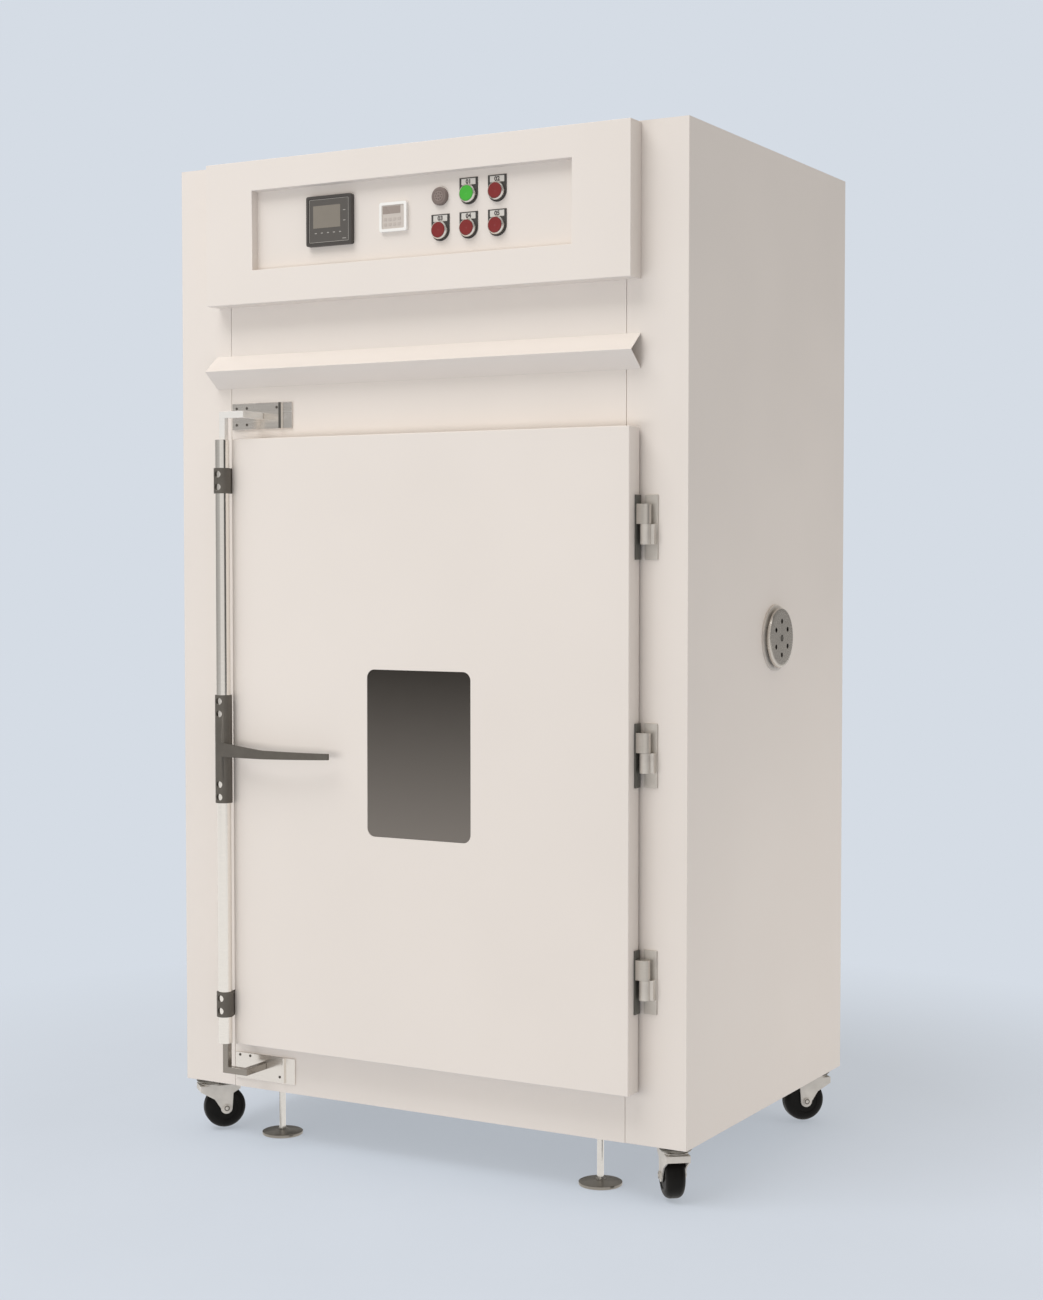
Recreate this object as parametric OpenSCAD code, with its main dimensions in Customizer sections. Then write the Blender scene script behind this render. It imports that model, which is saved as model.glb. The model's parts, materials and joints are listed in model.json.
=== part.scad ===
// Forced-air drying oven: sheet-steel cabinet on castors and levelling feet.
// X runs to the right, Y runs to the back and Z is up. The floor is z = 0.
// Modules are written with y = 0 on the cabinet's front plane and x = 0 on its
// middle; piece() then shifts them so that the origin is the middle of the base.

/* [Cabinet] */
// Width of the cabinet
body_w = 1040; // [960:5:1200]
// Depth of the cabinet
body_d = 700; // [660:5:900]
// Height of the cabinet without the castors
body_h = 1700; // [1640:5:1900]
// Gap between the floor and the cabinet
ground_gap = 100; // [96:1:120]
// Outer sheet thickness
sheet = 2; // [1:0.5:3]
// Inner sheet thickness
liner_t = 2; // [1:0.5:3]
// Width of each front corner post
post_w = 113; // [80:1:115]
// Gap of the seams in the outer sheets
seam = 1; // [0.4:0.1:2]
// Height of the base channel
base_h = 60; // [50:1:90]
// Width of the base channel
channel_w = 90; // [84:1:110]
// Wall of the base channel
channel_t = 4; // [3:0.5:6]

/* [Door] */
// Distance of the door from the cabinet's left side
door_left = 144; // [130:1:170]
// Distance of the door from the cabinet's right side
door_right = 87; // [78:1:100]
// Distance of the door from the cabinet's top
door_drop = 501; // [480:1:560]
// Bottom edge of the door above the cabinet's bottom
door_rise = 90; // [85:1:100]
// Distance of the door's front face from the cabinet's front
door_front = 42; // [38:1:60]
// Gap behind the door, filled by the gasket
door_gap = 4; // [3:0.5:8]
// Sheet thickness of the door
door_t = 1.5; // [1:0.5:3]
// Depth of the plug that enters the chamber's mouth
plug_depth = 25; // [15:1:34]
// Clearance between the plug and the chamber's mouth
plug_gap = 10; // [8:1:20]
// Overlap of the door over the chamber's mouth at the sides
lap_side = 40; // [36:1:60]
// Overlap of the door over the chamber's mouth at top and bottom
lap_end = 45; // [36:1:60]
// Width of the gasket
gasket_w = 14; // [10:1:16]
// Distance of the gasket from the door's edge
gasket_in = 20; // [18:1:22]

/* [Window] */
// Width of the window
window_w = 212; // [120:1:300]
// Height of the window
window_h = 295; // [150:1:500]
// Middle of the window from the door's middle
window_shift = -4.5; // [-20:0.5:20]
// Bottom of the window above the door's bottom
window_rise = 402; // [250:1:500]
// Corner radius of the window
window_r = 15; // [8:1:30]
// Thickness of the outer pane
pane_t = 6; // [4:0.5:8]

/* [Hinges] */
// Height of a hinge leaf
leaf_h = 107; // [80:1:140]
// Thickness of a hinge leaf
leaf_t = 3; // [2:0.5:5]
// Length of a hinge barrel
barrel_h = 67; // [50:1:75]
// Radius of a hinge barrel
barrel_r = 9.5; // [8:0.5:12]
// Radius of a hinge pin
hinge_pin_r = 4; // [3:0.25:6]
// Gap between a hinge barrel and the leaf on the door
barrel_side = 3.5; // [0.5:0.5:6]
// Gap between a hinge barrel and the leaf on the cabinet
barrel_lift = 0.5; // [0.4:0.1:1]
// Height of the barrels above the middle of the leaves
barrel_up = 5; // [-10:1:15]
// Middle of the lowest hinge above the door's bottom
hinge_low = 187; // [150:1:230]
// Middle of the highest hinge below the door's top
hinge_high = 166; // [130:1:230]
// Half of a running clearance
run_gap = 0.05; // [0.02:0.01:0.1]

/* [Lock bar] */
// Outer radius of the lock tube
tube_r = 12.7; // [10:0.1:14]
// Wall of the lock tube
tube_t = 1.2; // [1:0.1:3]
// Distance of the tube's axis in front of the door
lock_out = 16; // [16:0.5:30]
// Distance of the tube's axis beside the door
lock_side = 9; // [8:0.5:14]
// Wall of the sleeves round the tube
sleeve_t = 2.8; // [1.5:0.1:3]
// Height of a guide sleeve
guide_h = 46; // [36:1:80]
// Distance of each guide from the door's top or bottom
guide_in = 76; // [50:1:200]
// Height of the handle's sleeve
hub_h = 197; // [120:1:240]
// Middle of the handle's sleeve above the door's bottom
hub_rise = 545; // [400:1:600]
// Length of the lever
lever_len = 239; // [150:1:300]
// Bow of the lever
lever_bow = 14; // [8:1:24]
// Thickness of the lever
lever_t = 5; // [3:0.5:8]
// Height of the lever at the sleeve
lever_root = 26; // [20:1:34]
// Height of the lever at its end
lever_end = 11; // [8:1:20]
// Side of the square hook bar
hook_bar = 12; // [10:0.5:14]
// Sideways reach of the hooks
hook_reach = 46; // [40:1:60]
// Height of the top hook above the door
hook_up = 43; // [36:1:50]
// Drop of the bottom hook under the door
hook_down = 45; // [40:1:56]
// Width of a keeper plate
keeper_w = 134; // [120:1:160]
// Height of a keeper plate
keeper_h = 48; // [40:1:60]
// Thickness of a keeper plate
keeper_t = 3; // [2:0.5:5]

/* [Control header] */
// Distance of the header box from the cabinet's sides
header_in = 87; // [70:1:110]
// Height of the header box
header_h = 256; // [220:1:280]
// Distance of the header's face from the cabinet's front
header_out = 39; // [32:1:60]
// Left end of the recess from the header's end
recess_left = 103; // [60:1:120]
// Right end of the recess from the header's end
recess_right = 109.5; // [60:0.5:125]
// Height of the recess
recess_h = 142; // [136:1:160]
// Top of the recess below the header's top
recess_drop = 54; // [40:1:60]
// Depth of the recess
recess_depth = 17; // [14:1:25]
// Side of the square controller
controller_side = 96; // [80:1:110]
// Height of the controller's face
controller_h = 88; // [76:1:100]
// Thickness of the controller's bezel
controller_t = 10; // [6:1:14]
// Middle of the controller left of the recess's middle
controller_in = 164.25; // [80:0.25:170]
// Width of the timer
timer_w = 56; // [48:1:72]
// Height of the timer
timer_h = 51; // [48:1:72]
// Distance between the controller and the timer
timer_pitch = 132.5; // [90:0.5:136]
// Distance between the timer and the first column of buttons
button_pitch = 94.5; // [60:0.5:100]
// Distance between columns of buttons
button_pitch_x = 56.5; // [42:0.5:70]
// Distance between rows of buttons
button_pitch_z = 58; // [50:0.5:62]
// Radius of a button cap
cap_r = 13.2; // [12:0.1:14]
// Radius of a switch behind the panel
switch_r = 11; // [10:0.5:12]
// Travel of a button
cap_travel = 3; // [2:0.5:4]
// Radius of a button's bezel
bezel_r = 15.5; // [14.8:0.1:17]
// Width of a legend plate
legend_w = 36; // [33:1:40]
// Height of the drip strip
strip_h = 60; // [40:1:70]
// Ridge of the drip strip from the cabinet's front
strip_out = 37; // [25:1:50]
// Distance of the drip strip below the header
strip_drop = 88; // [50:1:90]

/* [Chamber] */
// Width of each side air duct
duct_w = 50; // [40:1:60]
// Depth of insulation behind the chamber
back_wool = 108; // [90:1:140]
// Depth of insulation in front of the side ducts
front_wool = 40; // [36:1:60]
// Height of the air plenum above the chamber
plenum_h = 136; // [125:1:150]
// Height of insulation above the plenum
top_wool = 78; // [50:1:90]
// Columns of air slots in a duct wall
slot_cols = 5; // [3:1:7]
// Rows of air slots in a duct wall
slot_rows = 12; // [4:1:14]
// Length of an air slot
slot_l = 60; // [30:1:70]
// Height of an air slot
slot_h = 10; // [6:1:16]

/* [Shelves] */
// Number of shelves
shelf_count = 4; // [1:1:5]
// Height of the lowest shelf above the chamber's floor
shelf_first = 150; // [80:1:180]
// Room over the highest shelf
shelf_top = 224; // [150:1:300]
// Height of a shelf's rim
shelf_h = 14; // [10:1:24]
// Sheet thickness of a shelf
shelf_t = 1.5; // [1:0.5:3]
// Width of a shelf rail
rail_w = 20; // [14:1:30]

/* [Fan and heaters] */
// Radius of the fan wheel
fan_r = 140; // [110:1:150]
// Height of the fan blades
blade_h = 76; // [50:1:80]
// Number of fan blades
blade_count = 20; // [12:1:30]
// Radius of the fan's inlet
inlet_r = 100; // [70:1:104]
// Radius of the fan shaft
shaft_r = 10; // [8:0.5:12]
// Radius of the motor
motor_r = 70; // [55:1:80]
// Height of the motor
motor_h = 205; // [150:1:215]
// Height of the motor's stool
stool_h = 58; // [40:1:64]
// Radius of a heater tube
heater_r = 6; // [4:0.5:8]
// Radius of a heater fin
fin_r = 17; // [12:1:22]
// Distance between heater fins
fin_pitch = 25; // [15:1:40]

/* [Air port and exhaust] */
// Radius of the side port's flange
port_r = 59; // [52:1:70]
// Radius of the turning cap
vent_cap_r = 46; // [42:1:50]
// Height of the side port above the floor
port_z = 940; // [700:1:1100]
// Distance of the side port behind the cabinet's front
port_y = 365; // [250:1:400]
// Radius of the holes in the turning cap
vent_hole_r = 4.5; // [3:0.5:7]
// Radius of the ring of vent holes
vent_ring_r = 30; // [24:1:34]
// Outer radius of the exhaust spigot
spigot_r = 38; // [25:1:50]
// Height of the exhaust spigot above the top
spigot_h = 50; // [30:1:60]

/* [Castors and feet] */
// Radius of a castor wheel
wheel_r = 39; // [34:0.5:39]
// Width of a castor wheel
wheel_w = 34; // [20:1:36]
// Offset of the wheel from the swivel axis
castor_trail = 25; // [18:1:30]
// Inset of a castor from the cabinet's side
castor_in = 34; // [30:1:60]
// Lift of the castor wheels off the floor when the feet stand
wheel_lift = 4; // [1:0.5:5]
// Radius of a levelling foot
foot_r = 38; // [28:1:45]
// Radius of a foot's threaded rod
foot_rod_r = 6; // [4:0.5:8]
// Distance of the left feet from the cabinet's side
foot_left = 169; // [165:1:240]
// Distance of the right feet from the cabinet's side
foot_right = 197; // [170:1:240]
// Distance of the feet from the cabinet's front and back
foot_y = 72; // [60:1:78]

/* [Hidden] */
$fn = 48;
EPS = 0.01;

// Cabinet
half_w = body_w / 2;
floor_z = ground_gap;
top_z = ground_gap + body_h;
base_top = floor_z + base_h;
wool_z0 = base_top + sheet;

// Door, in x and z
door_x0 = door_left - half_w;
door_x1 = half_w - door_right;
door_z0 = floor_z + door_rise;
door_z1 = top_z - door_drop;
door_mid = (door_x0 + door_x1) / 2;
door_back = -door_gap;

// Mouth of the chamber
mouth_x0 = door_x0 + lap_side;
mouth_x1 = door_x1 - lap_side;
mouth_z0 = door_z0 + lap_end;
mouth_z1 = door_z1 - lap_end;
flange_w = min(lap_side, lap_end) - 10;
mouth_mid = (mouth_x0 + mouth_x1) / 2;
weld_gap = 0.1;

// Liner, plenum and machine room
liner_x0 = mouth_x0 - duct_w;
liner_x1 = mouth_x1 + duct_w;
liner_y0 = front_wool + liner_t;
liner_y1 = body_d - sheet - back_wool - liner_t;
liner_z1 = mouth_z1 + plenum_h;
deck_z = liner_z1 + liner_t + top_wool;

gasket_x0 = door_x0 + gasket_in;
gasket_x1 = door_x1 - gasket_in;
gasket_z0 = door_z0 + gasket_in;
gasket_z1 = door_z1 - gasket_in;

// Window
window_x0 = door_mid + window_shift - window_w / 2;
window_z0 = door_z0 + window_rise;
window_gap = 0.4;
rebate_w = 12;
pane_lip = 8;
seal_depth = 10;

// Hinge axis
hinge_x = door_x1 + leaf_t + barrel_r + barrel_side;
hinge_y = -leaf_t - barrel_r - barrel_lift;
hinge_pitch = (door_z1 - hinge_high - door_z0 - hinge_low) / 2;
hinge_z = [for (i = [0:2]) door_z0 + hinge_low + i * hinge_pitch];

leaf_edge = 7.5;
leaf_in = 20;
link_w = 6;

// Lock bar
lock_x = door_x0 - lock_side;
lock_y = -door_front - lock_out;
lock_z0 = door_z0 + 4;
lock_z1 = door_z1 - 2;
sleeve_r = tube_r + sleeve_t;
hub_z = door_z0 + hub_rise;
guide_z = [door_z0 + guide_in, door_z1 - guide_in];
hook_z = [door_z0 - hook_down, door_z1 + hook_up];
hook_x = lock_x + hook_reach;
hook_side = 4;
keeper_z = [hook_z[0] - 4, hook_z[1]];
keeper_x = hook_x + 3;
sleeve_hole_r = 6.5;
sleeve_hole_end = 11;
sleeve_hole_pitch = 23;
lever_start = sleeve_r - 3.5;
lever_knee = lever_len * 0.435;
lever_R = (lever_len * lever_len / 4 + lever_bow * lever_bow) / (2 * lever_bow);
keeper_rib_x = 43;
keeper_rib_t = 5;
keeper_rib_h = 7;

// Header
header_z1 = top_z - sheet;
header_z0 = header_z1 - header_h;
header_half = half_w - header_in;
recess_x0 = recess_left - header_half;
recess_x1 = header_half - recess_right;
recess_mid = (recess_x0 + recess_x1) / 2;
controller_x = recess_mid - controller_in;
timer_x = controller_x + timer_pitch;
button_x = timer_x + button_pitch;
recess_z1 = header_z1 - recess_drop;
recess_z0 = recess_z1 - recess_h;
panel_y = recess_depth - header_out;
panel_z = (recess_z0 + recess_z1) / 2;
controller_z = panel_z + 7;
timer_z = panel_z + 3.5;
button_z = panel_z + 2;
button_rows = [button_z - button_pitch_z / 2, button_z + button_pitch_z / 2];
legend_t = 1.5;
bezel_t = 8;
switch_gap = 0.3;
stem_r = switch_r - 3;
strip_z = header_z0 - strip_drop - strip_h;
strip_over = 6;

// Fan and heaters
fan_y = (liner_y0 + liner_y1) / 2;
fan_z1 = liner_z1 - 30;
fan_z0 = fan_z1 - blade_h;
stool_z = deck_z + liner_t + stool_h;
heater_z = mouth_z1 + plenum_h / 2;
heater_legs = 60;
heater_in = 84;
probe_r = 3;
probe_x = mouth_x0 + 84;
probe_z = mouth_z1 - 14;

// Rear cover and the slots beside it
cooling_in = 220;
cooling_w = 140;
cooling_h = 7;
cooling_pitch = 18;
cooling_z = deck_z + 60;
gland_in = 80;
gland_up = 120;
louvre_w = 180;
louvre_h = 6;
louvre_pitch = 20;
louvre_up = 40;
cover_x0 = liner_x0;
cover_x1 = liner_x1;
cover_z0 = mouth_z1 - 44;
cover_z1 = liner_z1;
cover_out = 45;
gland_x = gland_in - half_w;
gland_z = deck_z + gland_up;
gland_r = 12;
gland_bore = 6.5;

// Side port and spigot
port_pipe_r = vent_cap_r - 6;
port_face = 3;
port_rise = 8;
vent_pin_r = 4;
spigot_y = liner_y1 - 70;
spigot_t = 1.5;

// Castors: x, y, direction of the trail, and whether there is a brake
wheel_z = wheel_r + wheel_lift;
castor_x = half_w - castor_in;
castor_y0 = 30;
castor_y1 = body_d - 45;
CASTORS = [
    [-castor_x, castor_y0, 49, true],
    [castor_x, castor_y0, 128, true],
    [castor_x, castor_y1, 224, false],
    [-castor_x, castor_y1, 340, false]
];
race_r = 28;
race_h = 10;
axle_r = 4;
shoulder_r = 12;
hub_r = 12;
dish_depth = 1;
fork_t = 2.5;
fork_gap = 1;
arm_r = 11;
castor_stem_r = 6;
stem_h = 24;
crown_z = floor_z - race_h - 3;
fork_side = wheel_w / 2 + fork_gap;
brake_u = castor_trail + 20;
brake_z = crown_z - 3;
brake_pin_r = 2;
pedal_l = 29;
shoe_l = 6.4;
flange_h = 11;
kingpin_r = 5;

// Feet
foot_x0 = foot_left - half_w;
foot_x1 = half_w - foot_right;
foot_rim = 5;
foot_dome = 11;
FEET = [
    [foot_x0, foot_y],
    [foot_x1, foot_y],
    [foot_x1, body_d - foot_y],
    [foot_x0, body_d - foot_y]
];

// Origin: the middle of everything at rest
front_most = lock_y - lever_start - lever_bow - lever_t / 2;
back_most = body_d + cover_out;
shift_y = -(front_most + back_most) / 2;
shift_x = -(port_face + port_rise + 3) / 2;

// Helpers

// Colours a piece and puts it in the object's frame
module piece(tone) {
    color(tone) translate([shift_x, shift_y, 0]) children();
}

// Box from one corner to the opposite one
module block(a, b) {
    translate(a) cube(b - a);
}

// Rectangle with rounded corners, from one corner to the other, in x and z
module round_rect(a, b, r) {
    union() {
        translate([a[0] + r, a[1]]) square([b[0] - a[0] - 2 * r, b[1] - a[1]]);
        translate([a[0], a[1] + r]) square([b[0] - a[0], b[1] - a[1] - 2 * r]);
        for (x = [a[0] + r, b[0] - r], z = [a[1] + r, b[1] - r])
            translate([x, z]) circle(r);
    }
}

// Stands a flat outline drawn in x and z up, between two depths
module upright(y0, y1) {
    translate([0, y1, 0]) rotate([90, 0, 0]) linear_extrude(y1 - y0) children();
}

// Cylinder along y between two depths
module rod_y(x, z, r, y0, y1) {
    translate([x, y0, z]) rotate([-90, 0, 0]) cylinder(r = r, h = y1 - y0);
}

// Cabinet

// Room for the chamber's flange in the front sheets
module mouth_cut() {
    grow = flange_w + seam / 2;
    block([mouth_x0 - grow, -1, mouth_z0 - grow], [mouth_x1 + grow, sheet + 1, mouth_z1 + grow]);
}

module side_panel(side) {
    x_out = side * half_w;
    x_in = side * (half_w - sheet);
    x_post = side * (half_w - post_w);
    difference() {
        union() {
            block([min(x_out, x_in), 0, floor_z], [max(x_out, x_in), body_d, top_z]);
            block([min(x_out, x_post), 0, floor_z],
                  [max(x_out, x_post), sheet, top_z - sheet]);
        }
        mouth_cut();
        if (side > 0)
            translate([x_in - 1, port_y, port_z]) rotate([0, 90, 0])
                cylinder(r = port_pipe_r + 0.3, h = sheet + 2);
    }
}

module left_panel() piece("antiquewhite") side_panel(-1);

module right_panel() piece("antiquewhite") side_panel(1);

module top_panel() {
    inner = half_w - sheet;
    piece("antiquewhite") difference() {
        block([-inner, 0, top_z - sheet], [inner, body_d, top_z]);
        translate([mouth_mid, spigot_y, top_z - sheet - 1])
            cylinder(r = spigot_r + 0.3, h = sheet + 2);
    }
}

// Rows of cooling slots for the machine room
module cooling_slots(y0, y1) {
    for (side = [-1, 1], row = [0:5])
        upright(y0, y1)
            translate([side * (half_w - cooling_in) - cooling_w / 2, cooling_z + row * cooling_pitch])
                square([cooling_w, cooling_h]);
}

module back_panel() {
    inner = half_w - sheet;
    piece("antiquewhite") difference() {
        block([-inner, body_d - sheet, floor_z], [inner, body_d, top_z - sheet]);
        cooling_slots(body_d - sheet - 1, body_d + 1);
        heater_legs_at() rod_y(0, 0, heater_r + 0.3, body_d - sheet - 1, body_d + 1);
        rod_y(probe_x, probe_z, probe_r + 0.3, body_d - sheet - 1, body_d + 1);
        rod_y(gland_x, gland_z, gland_r - 2, body_d - sheet - 1, body_d + 1);
    }
}

module front_fascia() {
    edge = half_w - post_w - seam;
    piece("antiquewhite") difference() {
        block([-edge, 0, floor_z], [edge, sheet, top_z - sheet]);
        mouth_cut();
        block([recess_x0 + 20, -1, recess_z0 + 8], [recess_x1 - 20, sheet + 1, recess_z1 - 8]);
    }
}

// Channel ring under the cabinet, open towards the middle, with weld nuts
module base_frame() {
    inner = half_w - sheet;
    piece("gray") difference() {
        union() {
            difference() {
                block([-inner, sheet, floor_z], [inner, body_d - sheet, base_top]);
                block([-inner + channel_w, sheet + channel_w, floor_z - 1],
                      [inner - channel_w, body_d - sheet - channel_w, base_top + 1]);
                block([-inner + channel_t, sheet + channel_t, floor_z + channel_t],
                      [inner - channel_t, body_d - sheet - channel_t, base_top - channel_t]);
            }
            block([-inner, sheet, base_top], [inner, body_d - sheet, base_top + sheet]);
            for (p = FEET)
                translate([p[0], p[1], floor_z + channel_t - EPS])
                    cylinder(r = 11, h = 10, $fn = 6);
        }
        for (p = FEET)
            translate([p[0], p[1], floor_z - 1])
                cylinder(r = foot_rod_r + run_gap, h = base_h - channel_t);
        for (c = CASTORS)
            translate([c[0], c[1], floor_z - 1])
                cylinder(r = castor_stem_r + 0.3, h = channel_t + 2);
    }
}

// Floor of the machine room with the stool that carries the motor
module motor_deck() {
    inner = half_w - sheet;
    foot = 20;
    stool_half = motor_r + 30;
    piece("silver") difference() {
        union() {
            block([-inner, sheet, deck_z], [inner, body_d - sheet, deck_z + liner_t]);
            for (sx = [-1, 1], sy = [-1, 1])
                translate([mouth_mid + sx * (stool_half - foot / 2),
                           fan_y + sy * (stool_half - foot / 2), deck_z + liner_t])
                    translate([-foot / 2, -foot / 2, 0]) cube([foot, foot, stool_h - 5]);
            translate([mouth_mid - stool_half, fan_y - stool_half, stool_z - 5])
                cube([2 * stool_half, 2 * stool_half, 5]);
        }
        translate([mouth_mid, fan_y, deck_z - 1]) cylinder(r = shaft_r + 4, h = stool_h + 10);
        translate([mouth_mid, spigot_y, deck_z - 1])
            cylinder(r = spigot_r + 0.3, h = liner_t + 2);
    }
}

// Chamber

// Outside of the chamber with its mouth, for the wool to go round
module liner_room() {
    block([liner_x0 - liner_t, liner_y0 - liner_t, mouth_z0 - liner_t],
          [liner_x1 + liner_t, liner_y1 + liner_t, liner_z1 + liner_t]);
    block([mouth_x0 - liner_t, 0, mouth_z0 - liner_t],
          [mouth_x1 + liner_t, liner_y0, mouth_z1 + liner_t]);
}

// Four strips that frame a hole: outer and inner corners in x and z
module framed(o0, o1, i0, i1, y0, y1) {
    if (i0[1] > o0[1]) block([o0[0], y0, o0[1]], [o1[0], y1, i0[1] - weld_gap]);
    block([o0[0], y0, i1[1] + weld_gap], [o1[0], y1, o1[1]]);
    block([o0[0], y0, i0[1]], [i0[0], y1, i1[1]]);
    block([i1[0], y0, i0[1]], [o1[0], y1, i1[1]]);
}

// Chamber welded from sheets: floor, roof, sides, back, front frame, mouth and flange
module chamber_liner() {
    g = weld_gap;
    t = liner_t;
    y_in = liner_y0;
    piece("silver") difference() {
        union() {
            block([liner_x0 - t, y_in + g, mouth_z0 - t], [liner_x1 + t, liner_y1 + t, mouth_z0]);
            block([liner_x0 - t, y_in + g, liner_z1], [liner_x1 + t, liner_y1 + t, liner_z1 + t]);
            block([liner_x0 - t, y_in + g, mouth_z0 + g], [liner_x0, liner_y1 + t, liner_z1 - g]);
            block([liner_x1, y_in + g, mouth_z0 + g], [liner_x1 + t, liner_y1 + t, liner_z1 - g]);
            block([liner_x0 + g, liner_y1, mouth_z0 + g], [liner_x1 - g, liner_y1 + t, liner_z1 - g]);
            framed([liner_x0 - t, mouth_z0 - t], [liner_x1 + t, liner_z1 + t],
                   [mouth_x0 - t - g, mouth_z0 - t], [mouth_x1 + t + g, mouth_z1 + t + g],
                   y_in - t, y_in);
            framed([mouth_x0 - t, mouth_z0 - t], [mouth_x1 + t, mouth_z1 + t],
                   [mouth_x0, mouth_z0], [mouth_x1, mouth_z1], sheet + g, y_in - g);
            framed([mouth_x0 - flange_w, mouth_z0 - flange_w],
                   [mouth_x1 + flange_w, mouth_z1 + flange_w],
                   [mouth_x0, mouth_z0], [mouth_x1, mouth_z1], 0, sheet);
        }
        translate([mouth_mid, fan_y, liner_z1 - 1]) cylinder(r = shaft_r + 4, h = t + 2);
        translate([mouth_mid, spigot_y, liner_z1 - 1]) cylinder(r = spigot_r + 0.3, h = t + 2);
        heater_legs_at() rod_y(0, 0, heater_r + 0.3, liner_y1 - 1, liner_y1 + t + 1);
        rod_y(probe_x, probe_z, probe_r + 0.3, liner_y1 - 1, liner_y1 + t + 1);
        translate([liner_x1 - 1, port_y, port_z]) rotate([0, 90, 0])
            cylinder(r = port_pipe_r + 0.3, h = t + 2);
    }
}

module insulation() {
    inner = half_w - sheet;
    piece("khaki") difference() {
        block([-inner, sheet, wool_z0], [inner, body_d - sheet, deck_z]);
        liner_room();
        translate([mouth_mid, fan_y, liner_z1]) cylinder(r = shaft_r + 6, h = top_wool + 10);
        translate([mouth_mid, spigot_y, liner_z1])
            cylinder(r = spigot_r + 0.3, h = top_wool + 10);
        heater_legs_at() rod_y(0, 0, heater_r + 0.3, liner_y1, body_d);
        rod_y(probe_x, probe_z, probe_r + 0.3, liner_y1, body_d);
        translate([liner_x1, port_y, port_z]) rotate([0, 90, 0])
            cylinder(r = port_pipe_r + 0.3, h = half_w);
    }
}

// Slotted wall of one side duct, drawn flat in y and z
module duct_wall_outline() {
    run = liner_y1 - liner_y0;
    rise = mouth_z1 - mouth_z0;
    step_y = run / slot_cols;
    step_z = rise / slot_rows;
    difference() {
        translate([liner_y0, mouth_z0]) square([run, rise]);
        for (i = [0:slot_cols - 1], j = [0:slot_rows - 1])
            translate([liner_y0 + (i + 0.5) * step_y, mouth_z0 + (j + 0.5) * step_z])
                slot_outline(min(slot_l, step_y - 16), slot_h);
    }
}

// Slot with round ends, centred
module slot_outline(l, h) {
    square([l - h, h], center = true);
    for (s = [-1, 1]) translate([s * (l - h) / 2, 0]) circle(h / 2);
}

// Side ducts and the ceiling with the fan's inlet
module air_ducts() {
    piece("silver") {
        for (x = [mouth_x0 - liner_t, mouth_x1])
            translate([x, 0, 0]) rotate([90, 0, 90]) linear_extrude(liner_t)
                duct_wall_outline();
        difference() {
            union() {
                block([mouth_x0 - liner_t, liner_y0, mouth_z1],
                      [mouth_x1 + liner_t, liner_y1, mouth_z1 + liner_t]);
                translate([mouth_mid, fan_y, mouth_z1])
                    cylinder(r = inlet_r + liner_t, h = fan_z0 - mouth_z1 - 4);
            }
            translate([mouth_mid, fan_y, mouth_z1 - 1])
                cylinder(r = inlet_r, h = fan_z0 - mouth_z1 + 2);
        }
    }
}

// Shelves

shelf_pitch = (mouth_z1 - mouth_z0 - shelf_first - shelf_top) / max(1, shelf_count - 1);

function shelf_z(i) = mouth_z0 + shelf_first + i * shelf_pitch;

module shelf_rails() {
    y0 = liner_y0 + 18;
    y1 = liner_y1 - 10;
    piece("silver")
        for (i = [0:shelf_count - 1]) {
            z = shelf_z(i) - shelf_h;
            for (side = [0, 1]) {
                wall = side == 0 ? mouth_x0 : mouth_x1 - rail_w;
                leg = side == 0 ? mouth_x0 : mouth_x1 - shelf_t;
                block([wall, y0, z - shelf_t], [wall + rail_w, y1, z]);
                block([leg, y0, z - shelf_t - rail_w], [leg + shelf_t, y1, z]);
            }
        }
}

// Punched sheet with its rim turned down
module shelf(z) {
    x0 = mouth_x0 + 3;
    x1 = mouth_x1 - 3;
    y0 = liner_y0 + 20;
    y1 = liner_y1 - 6;
    cols = 7;
    rows = 9;
    step_x = (x1 - x0 - 30) / cols;
    step_y = (y1 - y0 - 40) / rows;
    difference() {
        block([x0, y0, z - shelf_h], [x1, y1, z]);
        block([x0 + shelf_t, y0 + shelf_t, z - shelf_h - 1],
              [x1 - shelf_t, y1 - shelf_t, z - shelf_t]);
        translate([0, 0, z - shelf_t - 1]) linear_extrude(shelf_t + 2)
            for (i = [0:cols - 1], j = [0:rows - 1])
                translate([x0 + 15 + (i + 0.5) * step_x, y0 + 20 + (j + 0.5) * step_y])
                    slot_outline(step_x - 20, 14);
    }
}

module shelves() {
    piece("silver") for (i = [0:shelf_count - 1]) shelf(shelf_z(i));
}

// Fan and heaters

module fan_motor() {
    fins = 24;
    cowl_h = 40;
    box = 50;
    piece("steelblue") translate([mouth_mid, fan_y, stool_z]) difference() {
        union() {
            cylinder(r = motor_r + 18, h = 10);
            cylinder(r = motor_r - 8, h = motor_h);
            for (i = [0:fins - 1])
                rotate([0, 0, i * 360 / fins])
                    translate([motor_r - 10, -1.5, 10]) cube([9, 3, motor_h - cowl_h - 10]);
            translate([0, 0, motor_h - cowl_h]) cylinder(r = motor_r, h = cowl_h);
            translate([-box / 2, -motor_r - 30, motor_h / 2 - box])
                cube([box, 40, 1.4 * box]);
        }
        translate([0, 0, -1]) cylinder(r = shaft_r + run_gap, h = 61);
    }
}

// One forward-curved blade, drawn flat
module blade_outline() {
    inner = fan_r - 36;
    bend = 40;
    steps = 6;
    blade_t = 1.6;
    line = [for (i = [0:steps])
        let (a = bend * i / steps, r = inner + 34 * i / steps)
        [r * cos(a * 0.45), r * sin(a * 0.45)]];
    shifted = [for (i = [steps:-1:0])
        let (a = bend * i / steps, r = inner + 34 * i / steps)
        [r * cos(a * 0.45) - blade_t * sin(20), r * sin(a * 0.45) + blade_t * cos(20)]];
    polygon(concat(line, shifted));
}

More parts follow.
